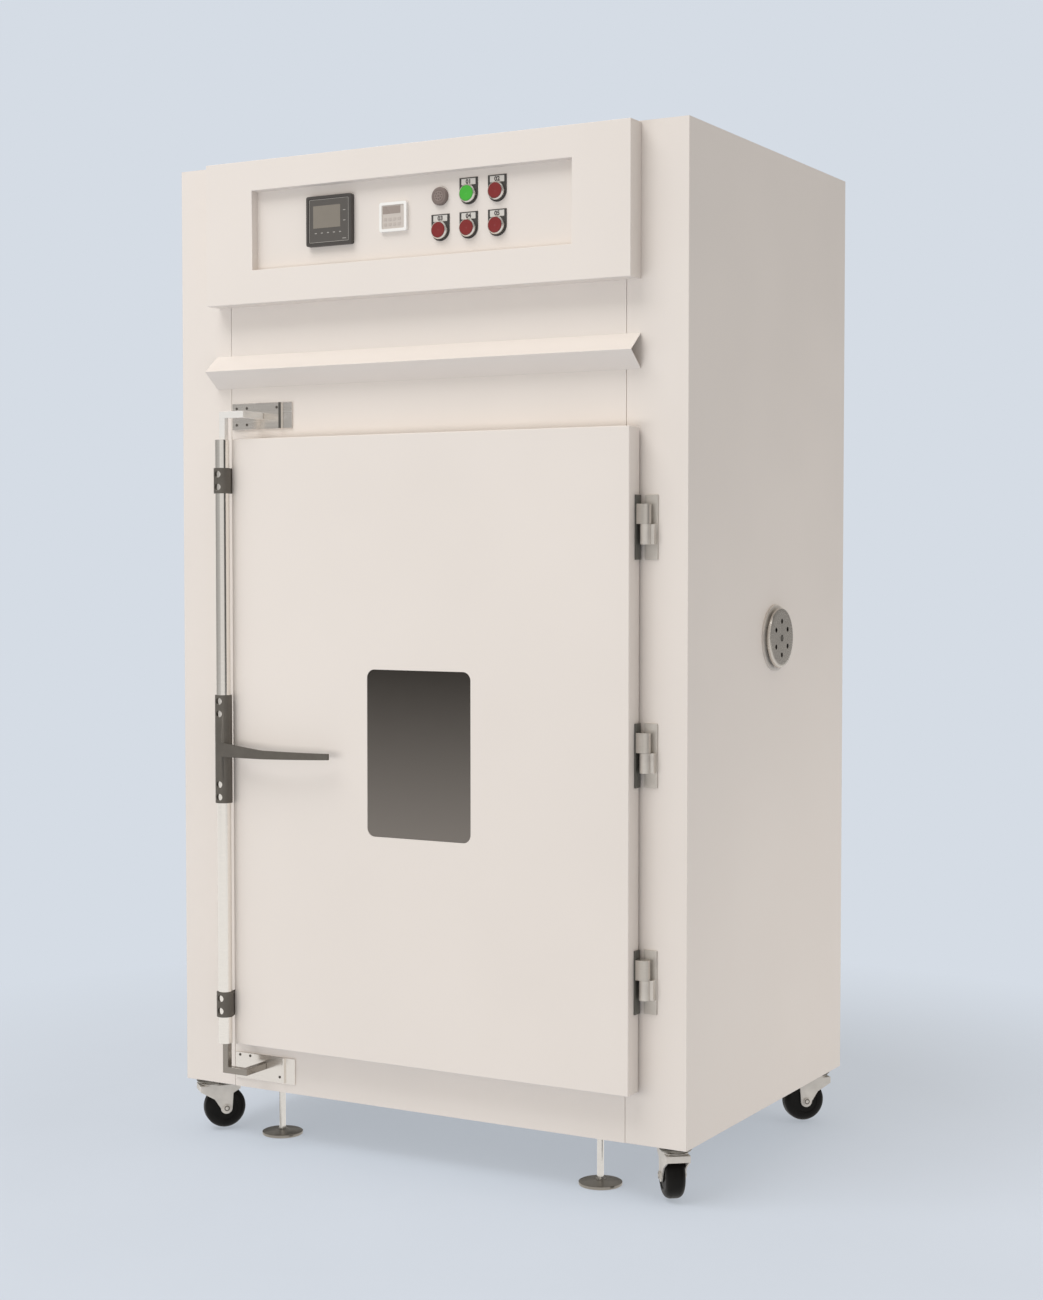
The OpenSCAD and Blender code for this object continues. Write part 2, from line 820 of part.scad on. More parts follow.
// Squirrel-cage wheel with its hub and shaft
module fan_wheel() {
    plate_t = 2;
    shaft_top = stool_z + 58;
    piece("lightgray") translate([mouth_mid, fan_y, 0]) union() {
        translate([0, 0, fan_z1 - plate_t]) cylinder(r = fan_r, h = plate_t);
        translate([0, 0, fan_z0]) difference() {
            cylinder(r = fan_r, h = plate_t);
            translate([0, 0, -1]) cylinder(r = inlet_r + 2, h = plate_t + 2);
        }
        translate([0, 0, fan_z0 + plate_t / 2]) linear_extrude(blade_h - plate_t)
            for (i = [0:blade_count - 1]) rotate(i * 360 / blade_count) blade_outline();
        translate([0, 0, fan_z1 - 34]) cylinder(r = shaft_r + 14, h = 34);
        translate([0, 0, fan_z1 - 44]) cylinder(r = shaft_r, h = shaft_top - fan_z1 + 44);
    }
}

// Places its children at each straight leg of the two heaters
module heater_legs_at() {
    for (side = [-1, 1], leg = [0, 1])
        translate([heater_x(side) - side * leg * heater_legs, 0, heater_z]) children();
}

function heater_x(side) = side < 0 ? liner_x0 + 24 : liner_x1 - 24;

// Finned tube bent to a U on each side of the fan
module heaters() {
    fins = floor((liner_y1 - liner_y0 - heater_in - 20) / fin_pitch);
    start = liner_y0 + heater_in;
    piece("dimgray") {
        heater_legs_at() {
            rod_y(0, 0, heater_r, start - EPS, body_d + 16);
            rod_y(0, 0, heater_r / 2, body_d + 15, body_d + 30);
            rod_y(0, 0, heater_r + 5, body_d, body_d + 6);
            for (i = [0:fins - 1])
                rod_y(0, 0, fin_r, start + 10 + i * fin_pitch, start + 11 + i * fin_pitch);
        }
        for (side = [-1, 1])
            translate([heater_x(side) - side * heater_legs / 2, start, heater_z])
                rotate([0, 0, 180]) rotate_extrude(angle = 180)
                    translate([heater_legs / 2, 0]) circle(heater_r);
    }
}

module temperature_probe() {
    piece("silver") {
        rod_y(probe_x, probe_z, probe_r, liner_y1 - 60, body_d + 1);
        rod_y(probe_x, probe_z, 9, body_d, body_d + 24);
    }
}

// Side port, exhaust, rear cover and cable inlet

// Six vent holes round a middle pin, drawn flat
module vent_holes() {
    for (i = [0:5]) rotate(i * 60) translate([vent_ring_r, 0]) circle(vent_hole_r);
}

module port_flange() {
    piece("silver") translate([half_w, port_y, port_z]) rotate([0, 90, 0]) {
        linear_extrude(port_face) difference() {
            circle(port_r);
            vent_holes();
        }
        cylinder(r = vent_pin_r, h = port_face + port_rise + 1);
        translate([0, 0, liner_x1 - half_w]) difference() {
            cylinder(r = port_pipe_r, h = half_w - liner_x1);
            translate([0, 0, -1]) cylinder(r = port_pipe_r - 1.5, h = half_w - liner_x1 + 1);
        }
    }
}

// Turning cap with the same holes as the plate behind it
module vent_cap() {
    wall = 2;
    gap = 0.3;
    height = port_rise + 3 - gap;
    piece("silver") translate([half_w + port_face + gap, port_y, port_z]) rotate([0, 90, 0])
        difference() {
            cylinder(r = vent_cap_r, h = height);
            translate([0, 0, -1]) cylinder(r = vent_cap_r - wall, h = height - 3 + 1);
            linear_extrude(height + 1) vent_holes();
            translate([0, 0, -1]) cylinder(r = vent_pin_r + run_gap, h = height + 2);
        }
}

module exhaust_spigot() {
    z0 = liner_z1;
    piece("silver") translate([mouth_mid, spigot_y, 0]) difference() {
        union() {
            translate([0, 0, z0]) cylinder(r = spigot_r, h = top_z + spigot_h - z0);
            translate([0, 0, top_z]) cylinder(r = spigot_r + 22, h = 2);
        }
        translate([0, 0, z0 - 1]) cylinder(r = spigot_r - spigot_t, h = top_z + spigot_h - z0 + 2);
    }
}

// Folded cover over the heater terminals, with cooling louvres
module rear_cover() {
    wall = 1.5;
    lip = 18;
    piece("antiquewhite") difference() {
        union() {
            block([cover_x0, body_d, cover_z0], [cover_x1, body_d + cover_out, cover_z1]);
            block([cover_x0 - lip, body_d, cover_z0 - lip],
                  [cover_x1 + lip, body_d + wall, cover_z1 + lip]);
        }
        block([cover_x0 + wall, body_d - 1, cover_z0 + wall],
              [cover_x1 - wall, body_d + cover_out - wall, cover_z1 - wall]);
        for (side = [-1, 1], row = [0:4])
            upright(body_d + cover_out - wall - 1, body_d + cover_out + 1)
                translate([mouth_mid + side * (cover_x1 - cover_x0) * 0.3 - louvre_w / 2,
                           cover_z0 + louvre_up + row * louvre_pitch])
                    square([louvre_w, louvre_h]);
    }
}

module cable_gland() {
    piece("dimgray") difference() {
        union() {
            rod_y(gland_x, gland_z, gland_r - 2.3, body_d - 16, body_d + 20);
            translate([gland_x, body_d, gland_z]) rotate([-90, 0, 0])
                cylinder(r = gland_r + 2, h = 8, $fn = 6);
            rod_y(gland_x, gland_z, gland_r, body_d + 8, body_d + 24);
            translate([gland_x, body_d - sheet - 6, gland_z]) rotate([-90, 0, 0])
                cylinder(r = gland_r + 2, h = 6, $fn = 6);
        }
        rod_y(gland_x, gland_z, gland_bore, body_d - 17, body_d + 25);
    }
}

// Control header

module header_box() {
    t = sheet;
    piece("antiquewhite") difference() {
        union() {
            difference() {
                block([-header_half, -header_out, header_z0], [header_half, 0, header_z1]);
                block([-header_half + t, -header_out + t, header_z0 + t],
                      [header_half - t, 1, header_z1 - t]);
            }
            block([recess_x0 - t, -header_out, recess_z0 - t],
                  [recess_x1 + t, panel_y, recess_z1 + t]);
        }
        block([recess_x0, -header_out - 1, recess_z0], [recess_x1, panel_y + 1, recess_z1]);
    }
}

// Places its children at each switch: column 0 of the upper row is the buzzer
module buttons_at(first) {
    spots = [[0, 1], [1, 1], [2, 1], [0, 0], [1, 0], [2, 0]];
    for (i = [first:5])
        translate([button_x + spots[i][0] * button_pitch_x, panel_y, button_rows[spots[i][1]]])
            rotate([90, 0, 0]) children();
}

module control_panel() {
    piece("antiquewhite") difference() {
        block([recess_x0 - 10, panel_y, recess_z0 - 10], [recess_x1 + 10, panel_y + 2, recess_z1 + 10]);
        block([controller_x - controller_side / 2 + 2, panel_y - 1, controller_z - controller_h / 2 + 2],
              [controller_x + controller_side / 2 - 2, panel_y + 3, controller_z + controller_h / 2 - 2]);
        block([timer_x - timer_w / 2 + 4, panel_y - 1, timer_z - timer_h / 2 + 4],
              [timer_x + timer_w / 2 - 4, panel_y + 3, timer_z + timer_h / 2 - 4]);
        buttons_at(0) translate([0, 0, -3]) cylinder(r = switch_r + switch_gap, h = 6);
    }
}

// Panel instrument: rounded bezel with a sunk face, and the case behind it
module instrument(x, z, w, h, t, inset, case_depth) {
    union() {
        difference() {
            upright(panel_y - t, panel_y)
                round_rect([x - w / 2, z - h / 2], [x + w / 2, z + h / 2], 4);
            upright(panel_y - t - 1, panel_y - t + 1.5)
                round_rect([x - w / 2 + 5, z - h / 2 + 5],
                           [x + w / 2 - 5, z + h / 2 - 5], 2);
        }
        block([x - w / 2 + inset, panel_y - EPS, z - h / 2 + inset],
              [x + w / 2 - inset, panel_y + case_depth, z + h / 2 - inset]);
    }
}

module controller() {
    piece("dimgray")
        instrument(controller_x, controller_z, controller_side, controller_h, controller_t, 2.5, 70);
}

module timer() {
    piece("white") instrument(timer_x, timer_z, timer_w, timer_h, 6, 4.5, 50);
}

// Round sounder in the first place of the upper row
module buzzer() {
    piece("dimgray") translate([button_x, panel_y, button_rows[1]]) rotate([90, 0, 0])
        rotate_extrude()
            polygon([[0, -30], [switch_r, -30], [switch_r, 0], [bezel_r, 0],
                     [bezel_r, 5], [bezel_r - 2, 7.5], [10, 7.5], [9, 6.5], [0, 6.5]]);
}

module switch_bodies() {
    piece("silver") buttons_at(1) {
        difference() {
            rotate_extrude()
                polygon([[0, -22], [switch_r, -22], [switch_r, legend_t],
                         [bezel_r, legend_t], [bezel_r, legend_t + bezel_t - 2],
                         [bezel_r - 2, legend_t + bezel_t], [0, legend_t + bezel_t]]);
            translate([0, 0, legend_t + 1.5]) cylinder(r = cap_r + switch_gap, h = bezel_t + 2);
            translate([0, 0, -20]) cylinder(r = stem_r + switch_gap, h = bezel_t + 30);
        }
        translate([-14, -14, -46]) cube([28, 28, 24]);
    }
}

// Plate behind each bezel: round below, square above
module legend_plates() {
    rise = 27.5;
    piece("black") buttons_at(1) difference() {
        linear_extrude(legend_t) difference() {
            union() {
                circle(legend_w / 2);
                translate([-legend_w / 2, 0]) square([legend_w, rise]);
            }
            circle(switch_r + switch_gap);
        }
    }
}

// Cap with its stem; the stem slides in the switch
module button(i) {
    spots = [[1, 1], [2, 1], [0, 0], [1, 0], [2, 0]];
    place = spots[i - 1];
    front = legend_t + bezel_t + 1;
    back = legend_t + 1.5 + cap_travel + 0.3;
    piece(i == 1 ? "limegreen" : "darkred")
        translate([button_x + place[0] * button_pitch_x, panel_y, button_rows[place[1]]])
            rotate([90, 0, 0]) rotate_extrude()
                polygon([[0, -16], [stem_r, -16], [stem_r, back], [cap_r, back],
                         [cap_r, front - 1], [cap_r - 1, front], [cap_r - 3, front],
                         [0, front - 0.8]]);
}

// Bent sheet strip with a ridge, open at its ends
module drip_strip() {
    t = sheet * 0.75;
    mid = strip_z + strip_h / 2;
    slope = t * sqrt(1 + pow(strip_out / (strip_h / 2), 2));
    piece("antiquewhite")
        translate([-header_half - strip_over, 0, 0]) rotate([90, 0, 90])
            linear_extrude(2 * header_half + strip_over)
            polygon([[0, strip_z], [-strip_out, mid], [0, strip_z + strip_h],
                     [0, strip_z + strip_h - slope], [-strip_out + slope, mid],
                     [0, strip_z + slope]]);
}

// Hinges and lock

// Leaf on the cabinet's front with the lower knuckle and the pin
module hinge_frame_leaves() {
    edge = hinge_x + barrel_r + leaf_edge;
    piece("silver") for (z = hinge_z) {
        low = z + barrel_up - barrel_h / 2;
        mid = z + barrel_up;
        block([hinge_x - barrel_r + leaf_t, -leaf_t, z - leaf_h / 2], [edge, 0, z + leaf_h / 2]);
        translate([hinge_x, hinge_y, low]) cylinder(r = barrel_r, h = barrel_h / 2);
        block([hinge_x - 1, hinge_y, low], [hinge_x + barrel_r + link_w, -leaf_t + 1, mid]);
        translate([hinge_x, hinge_y, mid - EPS]) cylinder(r = hinge_pin_r, h = barrel_h / 2 - 1);
    }
}

// Leaf on the door's side with the upper knuckle
module hinge_door_leaves() {
    gap = 0.3;
    piece("silver") for (z = hinge_z) {
        mid = z + barrel_up;
        difference() {
            union() {
                block([door_x1, -door_front + leaf_in, z - leaf_h / 2],
                      [door_x1 + leaf_t, door_back, z + leaf_h / 2]);
                translate([hinge_x, hinge_y, mid + gap])
                    cylinder(r = barrel_r, h = barrel_h / 2 - gap);
                block([door_x1 + leaf_t - 1, hinge_y - barrel_r, mid + gap],
                      [hinge_x, hinge_y, mid + barrel_h / 2]);
            }
            translate([hinge_x, hinge_y, mid])
                cylinder(r = hinge_pin_r + run_gap, h = barrel_h / 2 - 0.5);
        }
    }
}

// Pairs of holes through the front of a sleeve
module sleeve_holes(zs) {
    for (z = zs)
        translate([0, 0, z]) rotate([90, 0, 0]) cylinder(r = sleeve_hole_r, h = sleeve_r + 2);
}

// Sleeves that carry the tube, each with a leg on the door's side
module rod_guides() {
    leg = 4;
    piece("dimgray") for (z = guide_z) translate([lock_x, lock_y, z]) difference() {
        union() {
            translate([0, 0, -guide_h / 2]) cylinder(r = sleeve_r, h = guide_h);
            block([lock_side - leg, 8, -guide_h / 2],
                  [lock_side, lock_out + door_front - door_gap - 4, guide_h / 2]);
        }
        translate([0, 0, -guide_h]) cylinder(r = tube_r + run_gap, h = 2 * guide_h);
        sleeve_holes([-sleeve_hole_pitch / 2, sleeve_hole_pitch / 2]);
    }
}

// Hook bar: up or down from the tube, sideways, then back to the keeper
module hook(z_tube, z_hook) {
    h = hook_bar / 2;
    up = z_hook > z_tube ? 1 : -1;
    low = min(z_tube - up * 4, z_hook + up * h);
    high = max(z_tube - up * 4, z_hook + up * h);
    tip = -lock_y - keeper_t - 0.5;
    union() {
        block([hook_side - h, -h, low], [hook_side + h, h, high]);
        block([hook_side - h, -h, z_hook - h], [hook_reach + h, h, z_hook + h]);
        block([hook_reach - h, -h, z_hook - h], [hook_reach + h, tip, z_hook + h]);
        translate([0, 0, z_tube - up * 2 - 2]) cylinder(r = tube_r - tube_t + EPS, h = 4);
    }
}

module lock_bar() {
    piece("silver") translate([lock_x, lock_y, 0]) union() {
        difference() {
            translate([0, 0, lock_z0]) cylinder(r = tube_r, h = lock_z1 - lock_z0);
            translate([0, 0, lock_z0 - 1]) cylinder(r = tube_r - tube_t, h = lock_z1 - lock_z0 + 2);
        }
        hook(lock_z0, hook_z[0]);
        hook(lock_z1, hook_z[1]);
    }
}

// Sleeve clamped on the tube, with the bowed lever welded to it
module lock_handle() {
    mid = lever_len / 2;
    centre_y = lever_R - lever_start - lever_bow;
    holes = [sleeve_hole_end, sleeve_hole_end + sleeve_hole_pitch];
    piece("dimgray") translate([lock_x, lock_y, hub_z]) difference() {
        union() {
            translate([0, 0, -hub_h / 2]) cylinder(r = sleeve_r, h = hub_h);
            intersection() {
                translate([mid, centre_y, -lever_root]) difference() {
                    cylinder(r = lever_R + lever_t / 2, h = 2 * lever_root, $fn = 180);
                    translate([0, 0, -1])
                        cylinder(r = lever_R - lever_t / 2, h = 2 * lever_root + 2, $fn = 180);
                }
                upright(-lever_R, 0)
                    polygon([[0, -lever_root / 2], [lever_knee, -lever_root * 0.48],
                             [lever_len, -lever_end * 0.84], [lever_len, lever_end * 0.16],
                             [lever_knee, lever_end * 0.28], [0, lever_root / 2]]);
            }
        }
        translate([0, 0, -hub_h]) cylinder(r = tube_r, h = 2 * hub_h);
        sleeve_holes(concat([for (z = holes) z - hub_h / 2], [for (z = holes) hub_h / 2 - z]));
    }
}

// Plate with a stop rib for each hook
module keepers() {
    piece("silver") for (z = keeper_z) {
        block([keeper_x - keeper_w / 2, -keeper_t, z - keeper_h / 2],
              [keeper_x + keeper_w / 2, 0, z + keeper_h / 2]);
        block([hook_x + keeper_rib_x, -keeper_rib_h, z - keeper_h / 2 + 0.5],
              [hook_x + keeper_rib_x + keeper_rib_t, 0, z + keeper_h / 2 - 0.5]);
    }
}

// Door

module window_outline(grow, r) {
    round_rect([window_x0 - grow, window_z0 - grow],
               [window_x0 + window_w + grow, window_z0 + window_h + grow], r);
}

module door_skin() {
    t = door_t;
    lip = 20;
    piece("antiquewhite") difference() {
        block([door_x0, -door_front, door_z0], [door_x1, door_back, door_z1]);
        block([door_x0 + t, -door_front + t, door_z0 + t],
              [door_x1 - t, door_back - t, door_z1 - t]);
        block([door_x0 + lip, door_back - t - 1, door_z0 + lip],
              [door_x1 - lip, door_back + 1, door_z1 - lip]);
        upright(-door_front - 1, -door_front + t + 1) window_outline(0, window_r);
    }
}

// Stainless inner pan with its plug and the tunnel for the window
module door_liner() {
    t = door_t;
    lip = 20.3;
    x0 = mouth_x0 + plug_gap;
    x1 = mouth_x1 - plug_gap;
    z0 = mouth_z0 + plug_gap;
    z1 = mouth_z1 - plug_gap;
    y_lip = -door_front + t + seal_depth;
    piece("silver") union() {
        difference() {
            union() {
                block([door_x0 + lip, door_back - t, door_z0 + lip],
                      [door_x1 - lip, door_back, door_z1 - lip]);
                block([x0, door_back - EPS, z0], [x1, plug_depth, z1]);
            }
            block([x0 + t, door_back - t - 1, z0 + t], [x1 - t, plug_depth - t, z1 - t]);
            upright(plug_depth - t - 1, plug_depth + 1) window_outline(-pane_lip, window_r);
        }
        upright(-door_front + t, plug_depth - t + EPS) difference() {
            window_outline(rebate_w + t, window_r + t);
            window_outline(rebate_w, window_r);
        }
        upright(y_lip, y_lip + t) difference() {
            window_outline(rebate_w + EPS, window_r);
            window_outline(-pane_lip, window_r);
        }
    }
}

module door_insulation() {
    t = door_t;
    piece("khaki") difference() {
        union() {
            block([door_x0 + t, -door_front + t, door_z0 + t],
                  [door_x1 - t, door_back - t, door_z1 - t]);
            block([mouth_x0 + plug_gap + t, door_back - t - EPS, mouth_z0 + plug_gap + t],
                  [mouth_x1 - plug_gap - t, plug_depth - t, mouth_z1 - plug_gap - t]);
        }
        upright(-door_front, plug_depth) window_outline(rebate_w + t, window_r + t);
    }
}

// Outer pane flush with the door, and the inner pane at the plug
module window_panes() {
    inner_t = 5;
    piece("dimgray") {
        upright(-door_front + 0.3, -door_front + pane_t + 0.3)
            window_outline(-window_gap, window_r - window_gap);
        upright(plug_depth - door_t - inner_t, plug_depth - door_t)
            window_outline(rebate_w - 0.5, window_r);
    }
}

// Window seal and door gasket
module door_seals() {
    back = -door_front + pane_t + 0.3;
    front = -door_front + door_t;
    piece("dimgray") {
        difference() {
            upright(front, front + seal_depth) window_outline(rebate_w, window_r);
            upright(front - 1, back) window_outline(-window_gap + 0.2, window_r - 0.2);
            upright(front - 1, front + seal_depth + 1) window_outline(-pane_lip, window_r);
        }
        framed([gasket_x0, gasket_z0], [gasket_x1, gasket_z1],
               [gasket_x0 + gasket_w, gasket_z0 + gasket_w],
               [gasket_x1 - gasket_w, gasket_z1 - gasket_w], door_back, -0.3);
    }
}

// Castors

// Moves its children to a castor's swivel axis, x along its trail
module at_castor(c) {
    translate([c[0], c[1], 0]) rotate([0, 0, c[2]]) children();
}

module castor_tops() {
    piece("silver") for (c = CASTORS) at_castor(c) difference() {
        union() {
            translate([0, 0, floor_z - race_h]) rotate_extrude()
                polygon([[0, 0], [race_r - 6, 0], [race_r - 2, 2], [race_r, 5],
                         [race_r - 1, race_h - 2], [race_r - 6, race_h], [0, race_h]]);
            translate([0, 0, floor_z - EPS]) cylinder(r = castor_stem_r, h = stem_h);
        }
        translate([0, 0, floor_z - race_h - 1]) cylinder(r = kingpin_r + run_gap, h = race_h - 1);
    }
}

// Side arm of a fork, drawn flat in x and z
module fork_arm_outline(brake) {
    reach = brake ? brake_u + 7 : race_r - 2;
    union() {
        polygon([[-race_r + 4, crown_z], [-race_r + 4, crown_z - flange_h], [2, crown_z - 26],
                 [castor_trail - arm_r, wheel_z], [castor_trail + arm_r, wheel_z],
                 [castor_trail + arm_r + 2, crown_z - 16], [reach, crown_z - 8],
                 [reach, crown_z]]);
        translate([castor_trail, wheel_z]) circle(arm_r);
    }
}

module castor_fork(i) {
    c = CASTORS[i - 1];
    brake = c[3];
    reach = brake ? castor_trail + 6 : race_r - 2;
    piece("lightgray") at_castor(c) union() {
        for (s = [0, 1])
            upright(s == 0 ? -fork_side - fork_t : fork_side,
                    s == 0 ? -fork_side : fork_side + fork_t)
                fork_arm_outline(brake);
        block([-race_r + 4, -fork_side - EPS, crown_z - fork_t],
              [reach, fork_side + EPS, crown_z]);
        block([-race_r + 4, -fork_side - EPS, crown_z - flange_h],
              [-race_r + 4 + fork_t, fork_side + EPS, crown_z]);
        translate([0, 0, crown_z - EPS]) cylinder(r = race_r - 7, h = 2.7);
        translate([0, 0, crown_z - EPS]) cylinder(r = kingpin_r, h = race_h);
        rod_y(castor_trail, wheel_z, axle_r, -fork_side - fork_t - 3, fork_side + fork_t + 3);
        for (s = [-1, 1])
            translate([castor_trail, s * (fork_side + fork_t + 1.5) - 1.5, wheel_z])
                rotate([-90, 0, 0]) cylinder(r = 7, h = 3, $fn = 6);
        if (brake)
            rod_y(brake_u, brake_z, brake_pin_r, -fork_side - EPS, fork_side + EPS);
    }
}

// Section of a castor wheel, x being the radius: round shoulders, dished sides
module wheel_outline() {
    half = wheel_w / 2;
    r0 = axle_r + run_gap;
    inner = wheel_r - shoulder_r;
    difference() {
        union() {
            translate([r0, -half]) square([inner - r0, wheel_w]);
            translate([r0, shoulder_r - half])
                square([wheel_r - r0, wheel_w - 2 * shoulder_r]);
            for (s = [-1, 1]) translate([inner, s * (half - shoulder_r)]) circle(shoulder_r);
        }
        for (s = [-1, 1])
            translate([hub_r, s * half - dish_depth]) square([inner - 4 - hub_r, 2 * dish_depth]);
    }
}

module castor_wheel(i) {
    piece("black") at_castor(CASTORS[i - 1])
        translate([castor_trail, 0, wheel_z]) rotate([90, 0, 0])
            rotate_extrude() wheel_outline();
}

// Pedal on a cross pin; pressed down, its shoe closes on the tyre
module castor_brake(i) {
    half = fork_side - 0.5;
    piece("silver") at_castor(CASTORS[i - 1]) translate([brake_u, 0, brake_z]) difference() {
        union() {
            rod_y(0, 0, 4, -half, half);
            block([-1, -half, 1], [pedal_l, half, 4]);
            block([0, -half + 2, -shoe_l], [3, half - 2, 0]);
            rod_y(pedal_l - 1.5, 1, 3, -half, half);
        }
        rod_y(0, 0, brake_pin_r + run_gap, -half - 1, half + 1);
    }
}

// Domed disc with its threaded rod
module foot(i) {
    p = FEET[i - 1];
    piece("dimgray") translate([p[0], p[1], 0]) union() {
        rotate_extrude()
            polygon([[0, 0], [foot_r - 1, 0], [foot_r, 1], [foot_r, foot_rim],
                     [foot_r - 2, foot_rim + 1], [foot_r * 0.6, foot_rim + 3],
                     [foot_rod_r + 5, foot_dome - 2], [foot_rod_r + 2, foot_dome],
                     [0, foot_dome]]);
        cylinder(r = foot_rod_r, h = floor_z + 30);
    }
}

left_panel();
right_panel();
top_panel();
back_panel();
front_fascia();
base_frame();
motor_deck();
chamber_liner();
insulation();
air_ducts();
shelf_rails();
shelves();
fan_motor();
heaters();
temperature_probe();
port_flange();
exhaust_spigot();
rear_cover();
cable_gland();
header_box();
control_panel();
drip_strip();
controller();
timer();
buzzer();
switch_bodies();
legend_plates();
hinge_frame_leaves();
keepers();
castor_tops();
door_skin();
door_liner();
door_insulation();
window_panes();
door_seals();
hinge_door_leaves();
rod_guides();
lock_bar();
lock_handle();
fan_wheel();
vent_cap();
button(1);  // button_1
button(2);  // button_2
button(3);  // button_3
button(4);  // button_4
button(5);  // button_5
castor_fork(1);  // castor_fork_1
castor_fork(2);  // castor_fork_2
castor_fork(3);  // castor_fork_3
castor_fork(4);  // castor_fork_4
castor_wheel(1);  // castor_wheel_1
castor_wheel(2);  // castor_wheel_2
castor_wheel(3);  // castor_wheel_3
castor_wheel(4);  // castor_wheel_4
castor_brake(1);  // castor_brake_1
castor_brake(2);  // castor_brake_2
foot(1);  // foot_1
foot(2);  // foot_2
foot(3);  // foot_3
foot(4);  // foot_4
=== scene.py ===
import json
import math

import bmesh
import bpy
from mathutils import Matrix, Vector

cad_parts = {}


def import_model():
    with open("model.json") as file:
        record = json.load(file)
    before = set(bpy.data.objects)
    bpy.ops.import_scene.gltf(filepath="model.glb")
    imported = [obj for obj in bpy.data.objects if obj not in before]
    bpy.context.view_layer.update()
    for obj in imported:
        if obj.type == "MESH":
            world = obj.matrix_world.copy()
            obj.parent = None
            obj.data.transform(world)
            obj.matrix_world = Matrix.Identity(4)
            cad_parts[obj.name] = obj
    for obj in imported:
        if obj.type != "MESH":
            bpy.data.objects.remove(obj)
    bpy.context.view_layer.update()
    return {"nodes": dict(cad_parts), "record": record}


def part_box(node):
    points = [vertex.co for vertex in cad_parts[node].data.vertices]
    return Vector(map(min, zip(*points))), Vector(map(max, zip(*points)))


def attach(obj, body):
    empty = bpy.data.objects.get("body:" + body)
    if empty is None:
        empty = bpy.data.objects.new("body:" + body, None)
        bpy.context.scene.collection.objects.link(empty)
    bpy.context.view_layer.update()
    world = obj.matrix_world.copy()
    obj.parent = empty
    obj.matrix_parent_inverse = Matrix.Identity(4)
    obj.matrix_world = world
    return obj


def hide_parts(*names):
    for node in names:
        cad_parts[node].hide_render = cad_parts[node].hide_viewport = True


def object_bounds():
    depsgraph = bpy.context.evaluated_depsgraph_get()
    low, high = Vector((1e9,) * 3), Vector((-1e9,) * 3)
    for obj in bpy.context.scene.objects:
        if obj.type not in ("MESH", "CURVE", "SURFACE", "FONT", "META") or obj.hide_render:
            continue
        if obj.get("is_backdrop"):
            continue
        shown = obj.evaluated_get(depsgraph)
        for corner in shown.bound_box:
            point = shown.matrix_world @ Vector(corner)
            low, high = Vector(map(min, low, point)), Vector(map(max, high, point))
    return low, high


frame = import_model()
NODES = frame["nodes"]
MM = 0.001
SHARP = 35  # degrees from which an edge stays sharp

# The oven's own origin: middle of the front sheet, on the floor
_lo, _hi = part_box("front_fascia")
X0 = (_lo.x + _hi.x) / 2
Y0 = _lo.y


def at(x, y, z):
    """Oven millimetres (middle, front plane, floor) to the row frame's metres."""
    return Vector((X0 + x * MM, Y0 + y * MM, z * MM))


# ---- camera -------------------------------------------------------------
# fitted to the photograph's edges: radians, lens in mm, place in oven millimetres
CAMERA_YAW, CAMERA_PITCH = -0.5146, -0.0409
CAMERA_LENS = 59.47
CAMERA_PLACE = (2013.3, -3195.2, 1075.5)


def make_camera():
    yaw, pitch = CAMERA_YAW, CAMERA_PITCH
    data = bpy.data.cameras.new("camera")
    data.sensor_width = 36.0
    data.sensor_fit = "AUTO"
    data.lens = CAMERA_LENS
    data.clip_start, data.clip_end = 0.05, 60
    cam = bpy.data.objects.new("camera", data)
    bpy.context.scene.collection.objects.link(cam)
    level = math.cos(pitch)
    fwd = Vector((math.sin(yaw) * level, math.cos(yaw) * level, math.sin(pitch)))
    right = Vector((math.cos(yaw), -math.sin(yaw), 0))
    up = right.cross(fwd)
    rot = Matrix((right, up, -fwd)).transposed()
    cam.matrix_world = Matrix.Translation(at(*CAMERA_PLACE)) @ rot.to_4x4()
    bpy.context.scene.camera = cam


make_camera()


# ---- materials ----------------------------------------------------------
def srgb(r, g, b):
    def lin(c):
        c /= 255.0
        return c / 12.92 if c <= 0.04045 else ((c + 0.055) / 1.055) ** 2.4
    return (lin(r), lin(g), lin(b), 1.0)


def new_material(name):
    """Empty node tree with only the shader and the output."""
    mat = bpy.data.materials.new(name)
    mat.use_nodes = True
    nt = mat.node_tree
    nt.nodes.clear()
    out = nt.nodes.new("ShaderNodeOutputMaterial")
    bsdf = nt.nodes.new("ShaderNodeBsdfPrincipled")
    nt.links.new(bsdf.outputs["BSDF"], out.inputs["Surface"])
    return mat, nt, bsdf


def coords(nt, scale=(1, 1, 1)):
    """Object coordinates, stretched; they ride along with the piece."""
    tex = nt.nodes.new("ShaderNodeTexCoord")
    mapping = nt.nodes.new("ShaderNodeMapping")
    mapping.inputs["Scale"].default_value = scale
    nt.links.new(tex.outputs["Object"], mapping.inputs["Vector"])
    return mapping.outputs["Vector"]


def noise(nt, vec, scale, detail=2.0, rough=0.5):
    n = nt.nodes.new("ShaderNodeTexNoise")
    n.inputs["Scale"].default_value = scale
    n.inputs["Detail"].default_value = detail
    n.inputs["Roughness"].default_value = rough
    nt.links.new(vec, n.inputs["Vector"])
    return n.outputs["Fac"]


def remap(nt, value, lo, hi, a=0.3, b=0.7):
    """Turns a..b (the noise's usual span) into lo..hi."""
    m = nt.nodes.new("ShaderNodeMapRange")
    m.inputs["From Min"].default_value = a
    m.inputs["From Max"].default_value = b
    m.inputs["To Min"].default_value = lo
    m.inputs["To Max"].default_value = hi
    nt.links.new(value, m.inputs["Value"])
    return m.outputs["Result"]


